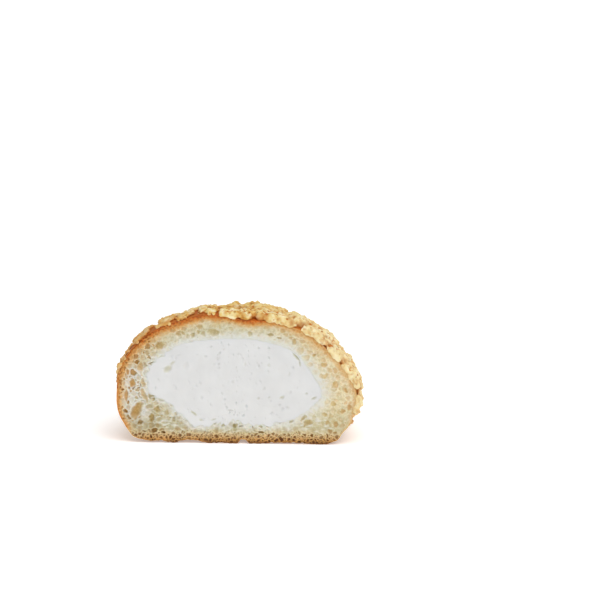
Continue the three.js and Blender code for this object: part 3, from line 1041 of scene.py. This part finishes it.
# %% Bubbles, torn hollows and drag marks
BUBBLE_SEED = 5
BUBBLE_COUNT = 170
BUBBLE_SPREAD = 0.93  # bubbles keep clear of the edge
BUBBLE_SMALLEST = 0.25  # half width
BUBBLE_VARIES = 0.35  # how much wider the largest is
BUBBLE_STRETCH = (1, 1.6)
BUBBLE_TILT = (50, 130)  # degrees, so they are drawn out upwards
BUBBLE_DEPTH = 0.8  # as a share of the half width
# The torn hollows: x, z, half length, half width, tilt in degrees, depth, and how much crumb shows in it
TORN_HOLLOWS = [
    (-28.5, 31.0, 2.0, 1.3, 40, 1.0, 0.8), (-26.6, 33.4, 1.5, 0.5, 48, 0.5, 0.6),
    (23.9, 36.6, 2.3, 0.55, -48, 0.9, 0.9), (25.3, 33.8, 1.3, 0.4, -75, 0.6, 0.6),
    (18.1, 19.6, 1.1, 0.7, 20, 0.7, 0.6), (31.0, 19.4, 1.3, 0.6, 30, 0.7, 0.6),
    (28.0, 21.3, 0.6, 0.5, 0, 0.5, 0.5), (-2.9, 13.9, 1.7, 0.25, -4, 0.4, 0.2),
    (-20.9, 32.3, 2.0, 0.8, 85, 0.35, 0.0), (-18.0, 12.6, 1.7, 0.5, -35, 0.7, 0.9),
    (12.7, 33.1, 0.9, 0.6, 80, 0.45, 0.2), (2.9, 33.3, 0.9, 0.7, 60, 0.3, 0.1),
    (10.8, 23.2, 0.7, 0.4, 20, 0.4, 0.2), (12.9, 19.5, 0.5, 0.4, 0, 0.4, 0.3),
    (8.4, 19.0, 0.45, 0.4, 0, 0.4, 0.3), (21.0, 29.5, 0.9, 0.4, 70, 0.4, 0.2),
    (-10.0, 10.0, 1.2, 0.4, 15, 0.5, 0.4), (-15.0, 9.8, 0.9, 0.5, -20, 0.6, 0.5),
]
# Waves of the cut: height, size and how far they are drawn out, less than 1 being upright drag marks
CREAM_WAVES = [(0.03, 1.7, 0.3), (0.1, 6, 1), (0.05, 2.3, 1)]
PROUD = 0.05  # how far the cream stands out past the crumb

chance = np.random.default_rng(BUBBLE_SEED)
hollows = list(TORN_HOLLOWS)
for _ in range(BUBBLE_COUNT):
    angle = np.array([chance.uniform(-math.pi, math.pi)])
    share = math.sqrt(chance.random()) * BUBBLE_SPREAD
    spot = at_cut(angle, share * cream_radius(angle))[0]
    wide = BUBBLE_SMALLEST + BUBBLE_VARIES * chance.random() ** 2
    long = wide * chance.uniform(*BUBBLE_STRETCH)
    tilt = chance.uniform(*BUBBLE_TILT)
    hollows.append((spot[0], spot[2], long, wide, tilt, BUBBLE_DEPTH * wide, 0))

dip = np.zeros(len(cream_face))
bare = np.zeros(len(cream_face))
for x, z, long, wide, tilt, depth, crumb_share in hollows:
    bowl = np.maximum(1 - np.hypot(*across_oval(cream_face, x, z, long, wide, tilt)) ** 2.5, 0)
    dip = np.maximum(dip, depth * bowl)
    bare = np.maximum(bare, crumb_share * np.sqrt(bowl))
drag = sum(
    height * ripple(cream_face * np.array([1, 1, drawn_out]), size, 12 + k)
    for k, (height, size, drawn_out) in enumerate(CREAM_WAVES)
)
cream_face[:, 1] += dip + drag * (1 - past_edge) + FILM_DIP * past_edge - PROUD
place(filling, cream_face)
print(len(hollows), "bubbles and hollows, the deepest", dip.max().round(1), "mm")

# %% Extrude the border of the cream back into the loaf
FILLING_DEPTHS = (-4, 4, 14, 24, 32, 35.5)  # along Y, a little short of the hollow
BORDER = 0.9999  # share of the radius past which a vertex is on the border

paint(filling, "crumb_shows", np.maximum(bare, FILM_CRUMB * past_edge))
run_back(filling, grid_shares > BORDER, FILLING_DEPTHS, 0)
bpy.ops.object.shade_smooth_by_angle(angle=math.radians(70))
print("cream closed,", triangles(filling), "triangles")

# %% [markdown]
# Whipped cream
#
# Milk fat and air: white, matt and strongly scattering, so light wanders a millimetre or two below the
# surface and small pits have soft edges. Pale crumb shows in the torn hollows and through the thin edge of
# the film.

# %% Whipped cream
whipped_cream, shader, where = new_material("whipped_cream")
clouds = add_node(whipped_cream, "ShaderNodeTexNoise", {"Vector": where, "Scale": per_mm(7), "Detail": 3})
white = add_node(
    whipped_cream, "ShaderNodeValToRGB", {"Fac": clouds.outputs["Fac"]},
    stops=[(0.3, "#dbdbda"), (0.7, "#e1e1e0")],
)
crumb_shows = add_node(whipped_cream, "ShaderNodeAttribute", attribute_name="crumb_shows")
with_crumb = tinted(whipped_cream, white.outputs["Color"], [
    (crumb_shows.outputs["Fac"], 0, 1, 1, "#d9d6bd"),
])
froth = add_node(whipped_cream, "ShaderNodeTexNoise", {"Vector": where, "Scale": per_mm(0.9), "Detail": 4})
relief = add_node(
    whipped_cream, "ShaderNodeBump",
    {"Height": froth.outputs["Fac"], "Strength": 0.25, "Distance": 0.15 * MM},
)
connect(whipped_cream, shader, {
    "Base Color": with_crumb, "Normal": relief.outputs["Normal"], "Roughness": 0.6,
    "Subsurface Weight": 0.4, "Subsurface Radius": (1.0, 0.9, 0.8), "Subsurface Scale": 1.5 * MM,
})
filling.data.materials.append(whipped_cream)
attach(filling, "root")
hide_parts("cream")
print("material", whipped_cream.name, "with", len(whipped_cream.node_tree.nodes), "nodes")

# %% [markdown]
# Where the streusel plates are
#
# Streusel is rubbed from flour, butter and sugar. In the oven it bakes to a crisp layer, and as the dough
# below keeps rising the layer cracks into plates. The solid model has the same plates: middles on a spiral
# from the crown down, each moved a little, with a crack of uneven width between neighbours. Repeating that
# rule here puts the fine plates where the solid's plates are.

# %% The plates, by the rule of the solid model
PLATE_COUNT = 104
PLATE_LOWEST = -0.12
PLATE_CROWDING = 0.92
PLATE_START = math.radians(28)
PLATE_JITTER = 0.46
PLATE_REACH = 11.0
PLATE_THICKNESS = 3.1
PLATE_THINNING = 0.35
PLATE_SLANT = 0.3
PLATE_UNEVEN = 0.2
PLATE_BARE_SHARE = 0.07
CRACK_WIDTH = 1.5
CRACK_UNEVEN = 0.6
LOST_SHRINKAGE = 3.5  # a lost plate leaves small fragments this far inside its edge
GOLDEN_ANGLE = math.pi * (3 - math.sqrt(5))


def draw(number, stream):
    """A fixed number from 0 to 1 for each whole number in a stream, from the digits of a fast sine wave."""
    wave = np.sin(np.asarray(number, float) * 12.9898 + stream * 78.233) * 43758.5453
    return wave - np.floor(wave)


def vary(share, number, stream):
    """A factor round 1 that differs by up to the share either way."""
    return 1 + share * (2 * draw(number, stream) - 1)


def spiral(count, lowest, crowding, start, jitter, stream):
    """Even directions from the crown down to the lowest share of the half height, each moved a little."""
    index = np.arange(count)
    rise = 1 - ((index + 0.5) / count) ** crowding * (1 - lowest)
    girth = np.sqrt(1 - rise**2)
    turn = index * GOLDEN_ANGLE + start
    even = np.stack([girth * np.cos(turn), girth * np.sin(turn), rise], axis=1)
    offset = np.stack([draw(index, stream + k) - 0.5 for k in range(3)], axis=1)
    moved = even + offset * 2 * jitter * math.sqrt(2 * math.pi * (1 - lowest) / count)
    return moved / np.linalg.norm(moved, axis=1, keepdims=True)


plate_directions = spiral(PLATE_COUNT, PLATE_LOWEST, PLATE_CROWDING, PLATE_START, PLATE_JITTER, 1)
plate_middles = on_skin(plate_directions)
plate_index = np.arange(PLATE_COUNT)
plate_kept = draw(plate_index, 6) > PLATE_BARE_SHARE
plate_thinning = 1 - PLATE_THINNING * (1 - np.maximum(plate_directions[:, 2], 0))
plate_slant = 1 + PLATE_SLANT * plate_directions[:, 0]
plate_thickness = PLATE_THICKNESS * plate_thinning * plate_slant * vary(PLATE_UNEVEN, plate_index, 5)
plate_cap = PLATE_REACH * vary(PLATE_UNEVEN, plate_index, 7)


def inside_plate(places):
    """How far places on the skin are inside the nearest plate's edge, and which plate that is."""
    reach = np.linalg.norm(places[:, None] - plate_middles[None], axis=2)
    nearest = reach.argmin(axis=1)
    row = np.arange(len(places))
    own = reach[row, nearest]
    apart = np.linalg.norm(plate_middles[nearest][:, None] - plate_middles[None], axis=2)
    apart[row, nearest] = np.inf
    to_border = (reach**2 - own[:, None] ** 2) / (2 * apart)
    to_border[row, nearest] = np.inf
    pair = np.minimum(nearest[:, None], plate_index) * PLATE_COUNT
    pair += np.maximum(nearest[:, None], plate_index)
    to_border -= CRACK_WIDTH * vary(CRACK_UNEVEN, pair, 11) / 2
    inside = np.minimum(to_border.min(axis=1), plate_cap[nearest] - own)
    return np.where(plate_kept[nearest], inside, inside - LOST_SHRINKAGE), nearest


print(plate_kept.sum(), "plates kept of", PLATE_COUNT)

# %% [markdown]
# The streusel plates
#
# A plate isn't a tile. It is thousands of buttery crumbs baked together, with a lobed edge, pits and an
# undercut where it lifted off the bread. So it is made the same way: small lumps are strewn over each plate
# in a top layer and a narrower root layer, and a voxel remesh fuses them into one skin. The plates are
# lumpy and torn near the cut, and closed behind it.


# %% Join many lumps into one mesh from arrays
LUMP_DENTS = 0.6


def lumps_mesh(name, middles, radii, flattening, stream, subdivisions):
    """One mesh of small uneven balls, each with its own size and dents, squashed against the skin."""
    bpy.ops.object.select_all(action="DESELECT")
    bpy.ops.mesh.primitive_ico_sphere_add(subdivisions=subdivisions, radius=1)
    pattern = bpy.context.object
    ball = coordinates(pattern) * MM
    faces = np.array([tuple(polygon.vertices) for polygon in pattern.data.polygons])
    bpy.data.objects.remove(pattern)
    number = np.arange(len(middles))
    dents = 1 + LUMP_DENTS * (draw(number[:, None] * len(ball) + np.arange(len(ball)), stream) - 0.5)
    out = above_skin(middles)[1]
    shapes = ball[None] * dents[:, :, None] * radii[:, None, None]
    shapes -= (1 - flattening) * np.einsum("nvk,nk->nv", shapes, out)[:, :, None] * out[:, None]
    vertices = (shapes + middles[:, None]).reshape(-1, 3)
    corners = (faces[None] + number[:, None, None] * len(ball)).reshape(-1)
    mesh = bpy.data.meshes.new(name)
    mesh.vertices.add(len(vertices))
    mesh.loops.add(len(corners))
    mesh.polygons.add(len(corners) // 3)
    mesh.vertices.foreach_set("co", (vertices * MM).astype(np.float32).ravel())
    mesh.loops.foreach_set("vertex_index", corners.astype(np.int32))
    mesh.polygons.foreach_set("loop_start", np.arange(0, len(corners), 3, dtype=np.int32))
    mesh.update(calc_edges=True)
    piece = bpy.data.objects.new(name, mesh)
    bpy.context.scene.collection.objects.link(piece)
    return piece


# %% Where the streusel layer is whole, crumbled or gone
STREW_COUNT = 18000  # places on the whole dome
STREW_LOWEST = -0.3
STREW_JITTER = 0.6
STREW_MARGIN = 2  # places this far in front of the cut are kept, because lumps there reach past it
EDGE_WANDER = 1.5  # how far the cracks wander, over about 7 mm
EDGE_LOBES = 1.5  # how far the edge is lobed, over about 3 mm
EDGE_GRAINS = 0.6  # and over about 1 mm
CRACK_WIDENING = 0.3  # what crumbled off each edge
CROWN_CLOSED = 2.4  # how far the cracks over the crown are closed
CROWN_X = 4
CROWN_REACH = 5
CROWN_DEPTH = (24, 16)  # along Y, from open cracks to closed ones
CRUMBLED = (28, 16)  # heights between which the plates crumble more and more, down to the waist
CRUMBLED_LOSS = 1.2
CRUMBLED_UNEVEN = 1.8
BARE_LOSS = 4  # what both sides lose near the cut, so much that they are bare
BARE_DEPTH = (16, 8)
BARE_LEFT = ((-39, -44), (27, 22))  # from where to where along X and Z
BARE_RIGHT = ((36, 41), (17, 14))

strewn = on_skin(spiral(STREW_COUNT, STREW_LOWEST, 1, 0, STREW_JITTER, 31))
strewn = strewn[strewn[:, 1] > -CUT_OFFSET - STREW_MARGIN]
strewn_x, strewn_y, strewn_z = strewn.T
number = np.arange(len(strewn))
wander = np.stack([ripple(strewn, 7, seed) for seed in (51, 52, 53)], axis=1)
inside, plate = inside_plate(strewn + EDGE_WANDER * wander)
inside += EDGE_LOBES * ripple(strewn, 2.8, 21) + EDGE_GRAINS * ripple(strewn, 1.2, 22) - CRACK_WIDENING
near_crown = np.exp(-(((strewn_x - CROWN_X) / CROWN_REACH) ** 2)) * between(strewn_y, *CROWN_DEPTH)
inside += CROWN_CLOSED * near_crown
inside += between(strewn_z, *CRUMBLED) * (CRUMBLED_UNEVEN * ripple(strewn, 2.4, 23) - CRUMBLED_LOSS)
bare_left, bare_right = [
    between(strewn_x, *along_x) * between(strewn_z, *along_z) for along_x, along_z in (BARE_LEFT, BARE_RIGHT)
]
inside -= BARE_LOSS * np.maximum(bare_left, bare_right) * between(strewn_y, *BARE_DEPTH)
print(len(strewn), "places,", round((inside > 0).mean(), 2), "of them on plates")

# %% Strew the lumps of the plates
LUMP_SMALLEST = 0.6  # radius
LUMP_SPREAD = 1.1  # how much larger the largest is
LUMP_FIT = 0.62  # but no lump is larger than this share of the plate's height
BEHIND_CUT = (-2, 10)  # along Y, from broken plates to closed ones
CLOSED_SMALLER = 0.3  # lumps of closed plates are smaller by this share
THINNER_LEFT = 0.45
LEFT_X = (4, -10)
LEFT_Y = (30, 22)
THINNEST = 0.6
EDGE_SLOPE = 1.6  # a plate reaches its thickness this far inside its edge
EDGE_THICKNESS = 0.65  # as a share
TOP_WAVES = (0.5, 3.0)  # height and size
TOP_UNEVEN = 1.4  # lumps of a broken plate differ by this much in height
CLOSED_EVEN = 0.5  # and those of a closed one by so much less
HOLE_SIZE = 2.6
HOLE_LIMIT = ([10, 30], [-0.36, -0.24])  # from left to right: x and the noise below which a hole is
CLOSED_WHOLE = 0.6  # how much lower that limit is in closed plates
EDGE_START = 0.2  # how far inside the edge the upper lumps start
UNDERCUT = (0.3, 1.2)  # how far inside it the roots start at least, and how much further at most
ROOT_LIFT = (0.18, 0.2)  # as a share of the plate's height, and what closed plates have more
ROOT_RADIUS = (0.45, 0.1)
TORN_DEPTH = 1.5  # lumps this close to the cut were torn off here and there, more on the left
TORN_SHARE = 0.35
TORN_X = (20, 5)
UPPER_LOST = 0.06  # shares of the lumps that are missing
ROOT_LOST = 0.25

behind_cut = between(strewn_y, *BEHIND_CUT)
radii = (LUMP_SMALLEST + LUMP_SPREAD * draw(number, 34) ** 2) * (1 - CLOSED_SMALLER * behind_cut)
thin_left = between(strewn_x, *LEFT_X) * between(strewn_y, *LEFT_Y)
thickness = plate_thickness[plate] * (1 - THINNER_LEFT * thin_left)
top = thickness * (EDGE_THICKNESS + (1 - EDGE_THICKNESS) * between(inside, 0, EDGE_SLOPE))
top += TOP_WAVES[0] * ripple(strewn, TOP_WAVES[1], 24)
top += (TOP_UNEVEN - CLOSED_EVEN * behind_cut) * (draw(number, 35) - 0.5)
top = np.maximum(top, THINNEST)
radii = np.minimum(radii, LUMP_FIT * top)
torn_off = draw(number, 36) < TORN_SHARE * between(strewn_x, *TORN_X)
torn_off &= strewn_y < -CUT_OFFSET + TORN_DEPTH
holes = ripple(strewn, HOLE_SIZE, 27) < np.interp(strewn_x, *HOLE_LIMIT) - CLOSED_WHOLE * behind_cut
upper = (inside > EDGE_START) & ~torn_off & ~holes & (draw(number, 37) > UPPER_LOST)
undercut = UNDERCUT[0] + UNDERCUT[1] * np.maximum(ripple(strewn, 6, 25), 0)
root = (inside > undercut) & ~torn_off & (draw(number, 38) > ROOT_LOST)
root_lift = (ROOT_LIFT[0] + ROOT_LIFT[1] * behind_cut) * top
root_radii = (ROOT_RADIUS[0] + ROOT_RADIUS[1] * behind_cut) * top
out = above_skin(strewn)[1]
lump_middles = np.concatenate([
    strewn[upper] + out[upper] * (top - radii)[upper][:, None],
    strewn[root] + out[root] * root_lift[root][:, None],
])
lump_radii = np.concatenate([radii[upper], root_radii[root]])
plates = lumps_mesh("streusel_plates", lump_middles, lump_radii, 0.9, 39, 2)
print(upper.sum(), "upper lumps and", root.sum(), "root lumps")

# %% [markdown]
# The fused plates still reach past the cut, so a block takes off what is in front of it, as the knife did,
# and a second fuse rounds the new edge. Grains and pits are then pushed into the surface, and the mesh is
# thinned. How far a vertex lies below its smoothed surroundings is stored as the depth of a crease, in
# millimetres, and the material paints creases orange by it as painted shade.

# %% Fuse the lumps with a voxel remesh and cut them with the bun
PLATE_VOXEL = 0.36
KNIFE_FRONT = 0.3  # how far the streusel sticks out past the cut of the bread
KNIFE_SIDE = 200  # the block that is taken off

bpy.ops.object.select_all(action="DESELECT")
knife_middle = -CUT_OFFSET * MM - KNIFE_FRONT * MM - KNIFE_SIDE / 2 * MM
bpy.ops.mesh.primitive_cube_add(size=KNIFE_SIDE * MM, location=(0, knife_middle, 0))
knife = bpy.context.object
fuse = plates.modifiers.new("fuse", "REMESH")
knife_cut = plates.modifiers.new("knife_cut", "BOOLEAN")
fuse_again = plates.modifiers.new("fuse_again", "REMESH")
for modifier in (fuse, fuse_again):
    modifier.mode = "VOXEL"
    modifier.voxel_size = PLATE_VOXEL * MM
knife_cut.operation = "DIFFERENCE"
knife_cut.solver = "MANIFOLD"
knife_cut.object = knife
apply_modifiers(plates)
bpy.data.objects.remove(knife)
plates.data.materials.clear()  # the knife left an empty slot
print("plates fused,", triangles(plates), "triangles")

# %% Push in grains and pits, thin the mesh and store what the material needs
COARSE_GRAIN = (3.0, 0.5)  # size and height
FINE_GRAIN = (1.4, 0.4)
PIT_COUNT = 1900  # on the whole dome
PIT_HEIGHT = 0.8  # where they are, as a share of a plate's thickness
PIT_RADIUS = 0.45
PIT_FLOOR = 0.4  # share of the radius that is flat
PIT_DEPTH = 0.5
KEPT_TRIANGLES = 190000
SMOOTHING_ROUNDS = 10
BROKEN_OPEN = (-CUT_OFFSET + 0.1, -CUT_OFFSET - 0.2)  # along Y, from none to all
BROKEN_LIFT = 0.8  # the broken face is as pale as a part this high up

pit_spots = on_skin(spiral(PIT_COUNT, 0, 1, 0, 1, 47))
pit_spots += above_skin(pit_spots)[1] * (PLATE_THICKNESS * PIT_HEIGHT)


def in_pit(places):
    """1 in the middle of a pit, falling to 0 outside it."""
    return np.clip(1 + PIT_FLOOR - nearest_distance(places, pit_spots)[0] / PIT_RADIUS, 0, 1)


points = coordinates(plates)
raised = sum(height * granules(points, size) for size, height in (COARSE_GRAIN, FINE_GRAIN))
place(plates, points + outward(plates) * (raised - PIT_DEPTH * in_pit(points))[:, None])
thin_out = plates.modifiers.new("thin_out", "DECIMATE")
thin_out.ratio = min(1, KEPT_TRIANGLES / triangles(plates))
apply_modifiers(plates)

points = coordinates(plates)
first, second = edge_ends(plates).T
edges_each = np.bincount(first, minlength=len(points)) + np.bincount(second, minlength=len(points))
smooth = points
for _ in range(SMOOTHING_ROUNDS):
    smooth = np.stack([
        np.bincount(first, along[second], len(points)) + np.bincount(second, along[first], len(points))
        for along in smooth.T
    ], axis=1) / edges_each[:, None]
# The crease depth is what the material paints as shade.
paint(plates, "crease", ((smooth - points) * outward(plates)).sum(axis=1))
# The pits are also painted brown in the material, as painted shade.
paint(plates, "pit", in_pit(points))
_, nearest_lump = nearest_distance(points, strewn)
lift = above_skin(points)[0] / thickness[nearest_lump]
broken_open = between(points[:, 1], *BROKEN_OPEN)
paint(plates, "lift", np.clip(np.maximum(lift, BROKEN_LIFT * broken_open), 0, 1))
bpy.ops.object.shade_smooth()
print("plates finished,", triangles(plates), "triangles")

# %% [markdown]
# Loose crumbs
#
# Where the plates broke, crumbs stay in the cracks and roll down to the waist. They are the same stuff in
# grains of half a millimetre to two millimetres, thickest near the lower edge of the streusel. Some more
# are baked onto the plates and stick to their broken edge at the cut. A grain is so small that twenty faces
# are enough.

# %% Strew the loose crumbs
CRUMB_PLACES = 11000
CRUMB_LOWEST = -0.42
CRUMB_CHANCE = 0.06  # the share of places that carry a crumb, anywhere between the plates
CRUMB_BAND = (17, 9)  # where most crumbs lie: height and reach
BAND_CHANCE = 0.3  # what the share gains there
EDGE_CHANCE = 0.16  # and along the edges of the plates
EDGE_GAP = 0.5  # how far outside the edge most of those are
CRUMB_OVERLAP = 0.6  # how far crumbs may lie on a plate
CRUMB_CLEAR = 0.6  # and how far they keep from the cut
BARE_CORNER = (-40, 12, 25)  # none are further left, further to the front and lower than this
CRUMB_SIZES = (0.3, 0.75)  # the smallest radius and how much larger the largest is
GRAIN_SIZES = (0.35, 0.9)
BROKEN_SIZES = (0.4, 0.7)
SUNK = 0.45  # how far the middle of a crumb or grain is off the surface, as a share of its radius
LEAST_LIFT = 0.35  # crumbs differ from golden to pale, as low and high parts of a plate do
GRAIN_SHARE = 0.04  # of the places on the plates that carry a grain of their own
BROKEN_DEPTH = 1.5  # places this close to the cut have grains on the broken edge
BROKEN_SHARE = 0.25
BROKEN_SUNK = 0.3
GRAIN_FRONT = 0.2  # how far in front of the cut grains on the plates may be

spots = on_skin(spiral(CRUMB_PLACES, CRUMB_LOWEST, 1, 0, 1, 41))
spot_number = np.arange(CRUMB_PLACES)
spot_inside, _ = inside_plate(spots)
band = np.exp(-(((spots[:, 2] - CRUMB_BAND[0]) / CRUMB_BAND[1]) ** 2))
likely = CRUMB_CHANCE + BAND_CHANCE * band * (1 + ripple(spots, 4, 26))
likely += EDGE_CHANCE * np.exp(-np.abs(spot_inside + EDGE_GAP))
lies = (draw(spot_number, 44) < likely) & (spot_inside < CRUMB_OVERLAP)
lies &= (spots[:, 1] > -CUT_OFFSET + CRUMB_CLEAR) & (spots > BARE_CORNER).any(axis=1)
crumb_radii = (CRUMB_SIZES[0] + CRUMB_SIZES[1] * draw(spot_number, 45) ** 2.2)[lies]
spots = spots[lies]
crumb_middles = spots + above_skin(spots)[1] * (SUNK * crumb_radii)[:, None]

grain = upper & (draw(number, 48) < GRAIN_SHARE) & (strewn_y > -CUT_OFFSET - GRAIN_FRONT)
grain_radii = (GRAIN_SIZES[0] + GRAIN_SIZES[1] * draw(number, 49) ** 2)[grain]
grain_middles = strewn[grain] + out[grain] * (top[grain] - SUNK * grain_radii)[:, None]
broken = upper & (np.abs(strewn_y + CUT_OFFSET) < BROKEN_DEPTH) & (draw(number, 51) < BROKEN_SHARE)
broken_radii = (BROKEN_SIZES[0] + BROKEN_SIZES[1] * draw(number, 52) ** 2)[broken]
broken_middles = strewn[broken] + out[broken] * (top * draw(number, 53))[broken][:, None]
broken_middles[:, 1] = -CUT_OFFSET - KNIFE_FRONT + BROKEN_SUNK * broken_radii
all_radii = np.concatenate([crumb_radii, grain_radii, broken_radii])
all_middles = np.concatenate([crumb_middles, grain_middles, broken_middles])
crumbs = lumps_mesh("streusel_crumbs", all_middles, all_radii, 0.8, 46, 1)
activate(crumbs)
bpy.ops.object.shade_smooth_by_angle(angle=math.radians(35))
corners_each = len(crumbs.data.vertices) // len(all_radii)
crumb_lift = LEAST_LIFT + (1 - LEAST_LIFT) * draw(np.arange(len(all_radii)), 50)
paint(crumbs, "lift", np.repeat(crumb_lift, corners_each))
print(len(all_radii), "crumbs and grains,", triangles(crumbs), "triangles")

# %% [markdown]
# Baked streusel
#
# Flour, butter and sugar, baked dry: a matt, sandy yellow with tiny pits. It is pale on top and where it
# broke open, golden behind the cut and orange close to the bread. The creases are painted orange and the
# pits brown, as painted shade. The right side is painted paler and the left browner, partly painted light
# from the key light on the right and partly the streusel's own tone. The loose crumbs have no creases or
# pits: an amount that a piece doesn't store counts as 0.

# %% Baked streusel
streusel, shader, where = new_material("baked_streusel")
axes = add_node(streusel, "ShaderNodeSeparateXYZ", {"Vector": where}).outputs
amount = {
    name: add_node(streusel, "ShaderNodeAttribute", attribute_name=name).outputs["Fac"]
    for name in ("crease", "lift", "pit")
}
rubble = add_node(
    streusel, "ShaderNodeTexNoise", {"Vector": where, "Scale": per_mm(3.4), "Detail": 3, "Roughness": 0.5}
)
body = add_node(
    streusel, "ShaderNodeValToRGB", {"Fac": rubble.outputs["Fac"]},
    stops=[(0.34, "#cf933c"), (0.43, "#e4be6e"), (0.52, "#eed794"), (0.64, "#f8ebbd")],
)
colour = tinted(streusel, body.outputs["Color"], [
    (axes["X"], 5 * MM, 35 * MM, 0.42, "#f6e7be"),  # paler on the right: partly painted light from the key light there, partly a paler tone
    (axes["Y"], 2 * MM, 22 * MM, 0.45, "#dfb65a"),  # golden behind the cut
    # painted shade: creases are painted orange by their depth
    (amount["crease"], 0, 0.22, 1, "#c97826"),
    (axes["X"], -12 * MM, -36 * MM, 0.5, "#cc8f4c"),  # browner on the left: partly painted shade away from the key light, partly a browner tone
    (amount["lift"], 0.8, 0.1, 0.95, "#cd8636"),  # close to the bread
    # painted shade: pits are painted brown
    (amount["pit"], 0, 1, 1, "#a86a2a"),
])
sand = add_node(streusel, "ShaderNodeTexNoise", {"Vector": where, "Scale": per_mm(0.7), "Detail": 4})
nodules = add_node(
    streusel, "ShaderNodeTexVoronoi", {"Vector": where, "Scale": per_mm(1.3), "Detail": 1.0}, feature="F1"
)
nodule_relief = add_node(
    streusel, "ShaderNodeBump",
    {"Height": nodules.outputs["Distance"], "Strength": 0.3, "Distance": 0.5 * MM}, invert=True,
)
relief = add_node(
    streusel, "ShaderNodeBump",
    {"Height": sand.outputs["Fac"], "Strength": 0.45, "Distance": 0.3 * MM,
     "Normal": nodule_relief.outputs["Normal"]},
)
connect(streusel, shader, {
    "Base Color": colour, "Normal": relief.outputs["Normal"], "Roughness": 0.8,
    "Subsurface Weight": 0.15, "Subsurface Radius": (1.0, 0.65, 0.3), "Subsurface Scale": 0.8 * MM,
})
for piece in (plates, crumbs):
    piece.data.materials.append(streusel)
    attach(piece, "root")
print("material", streusel.name, "with", len(streusel.node_tree.nodes), "nodes")
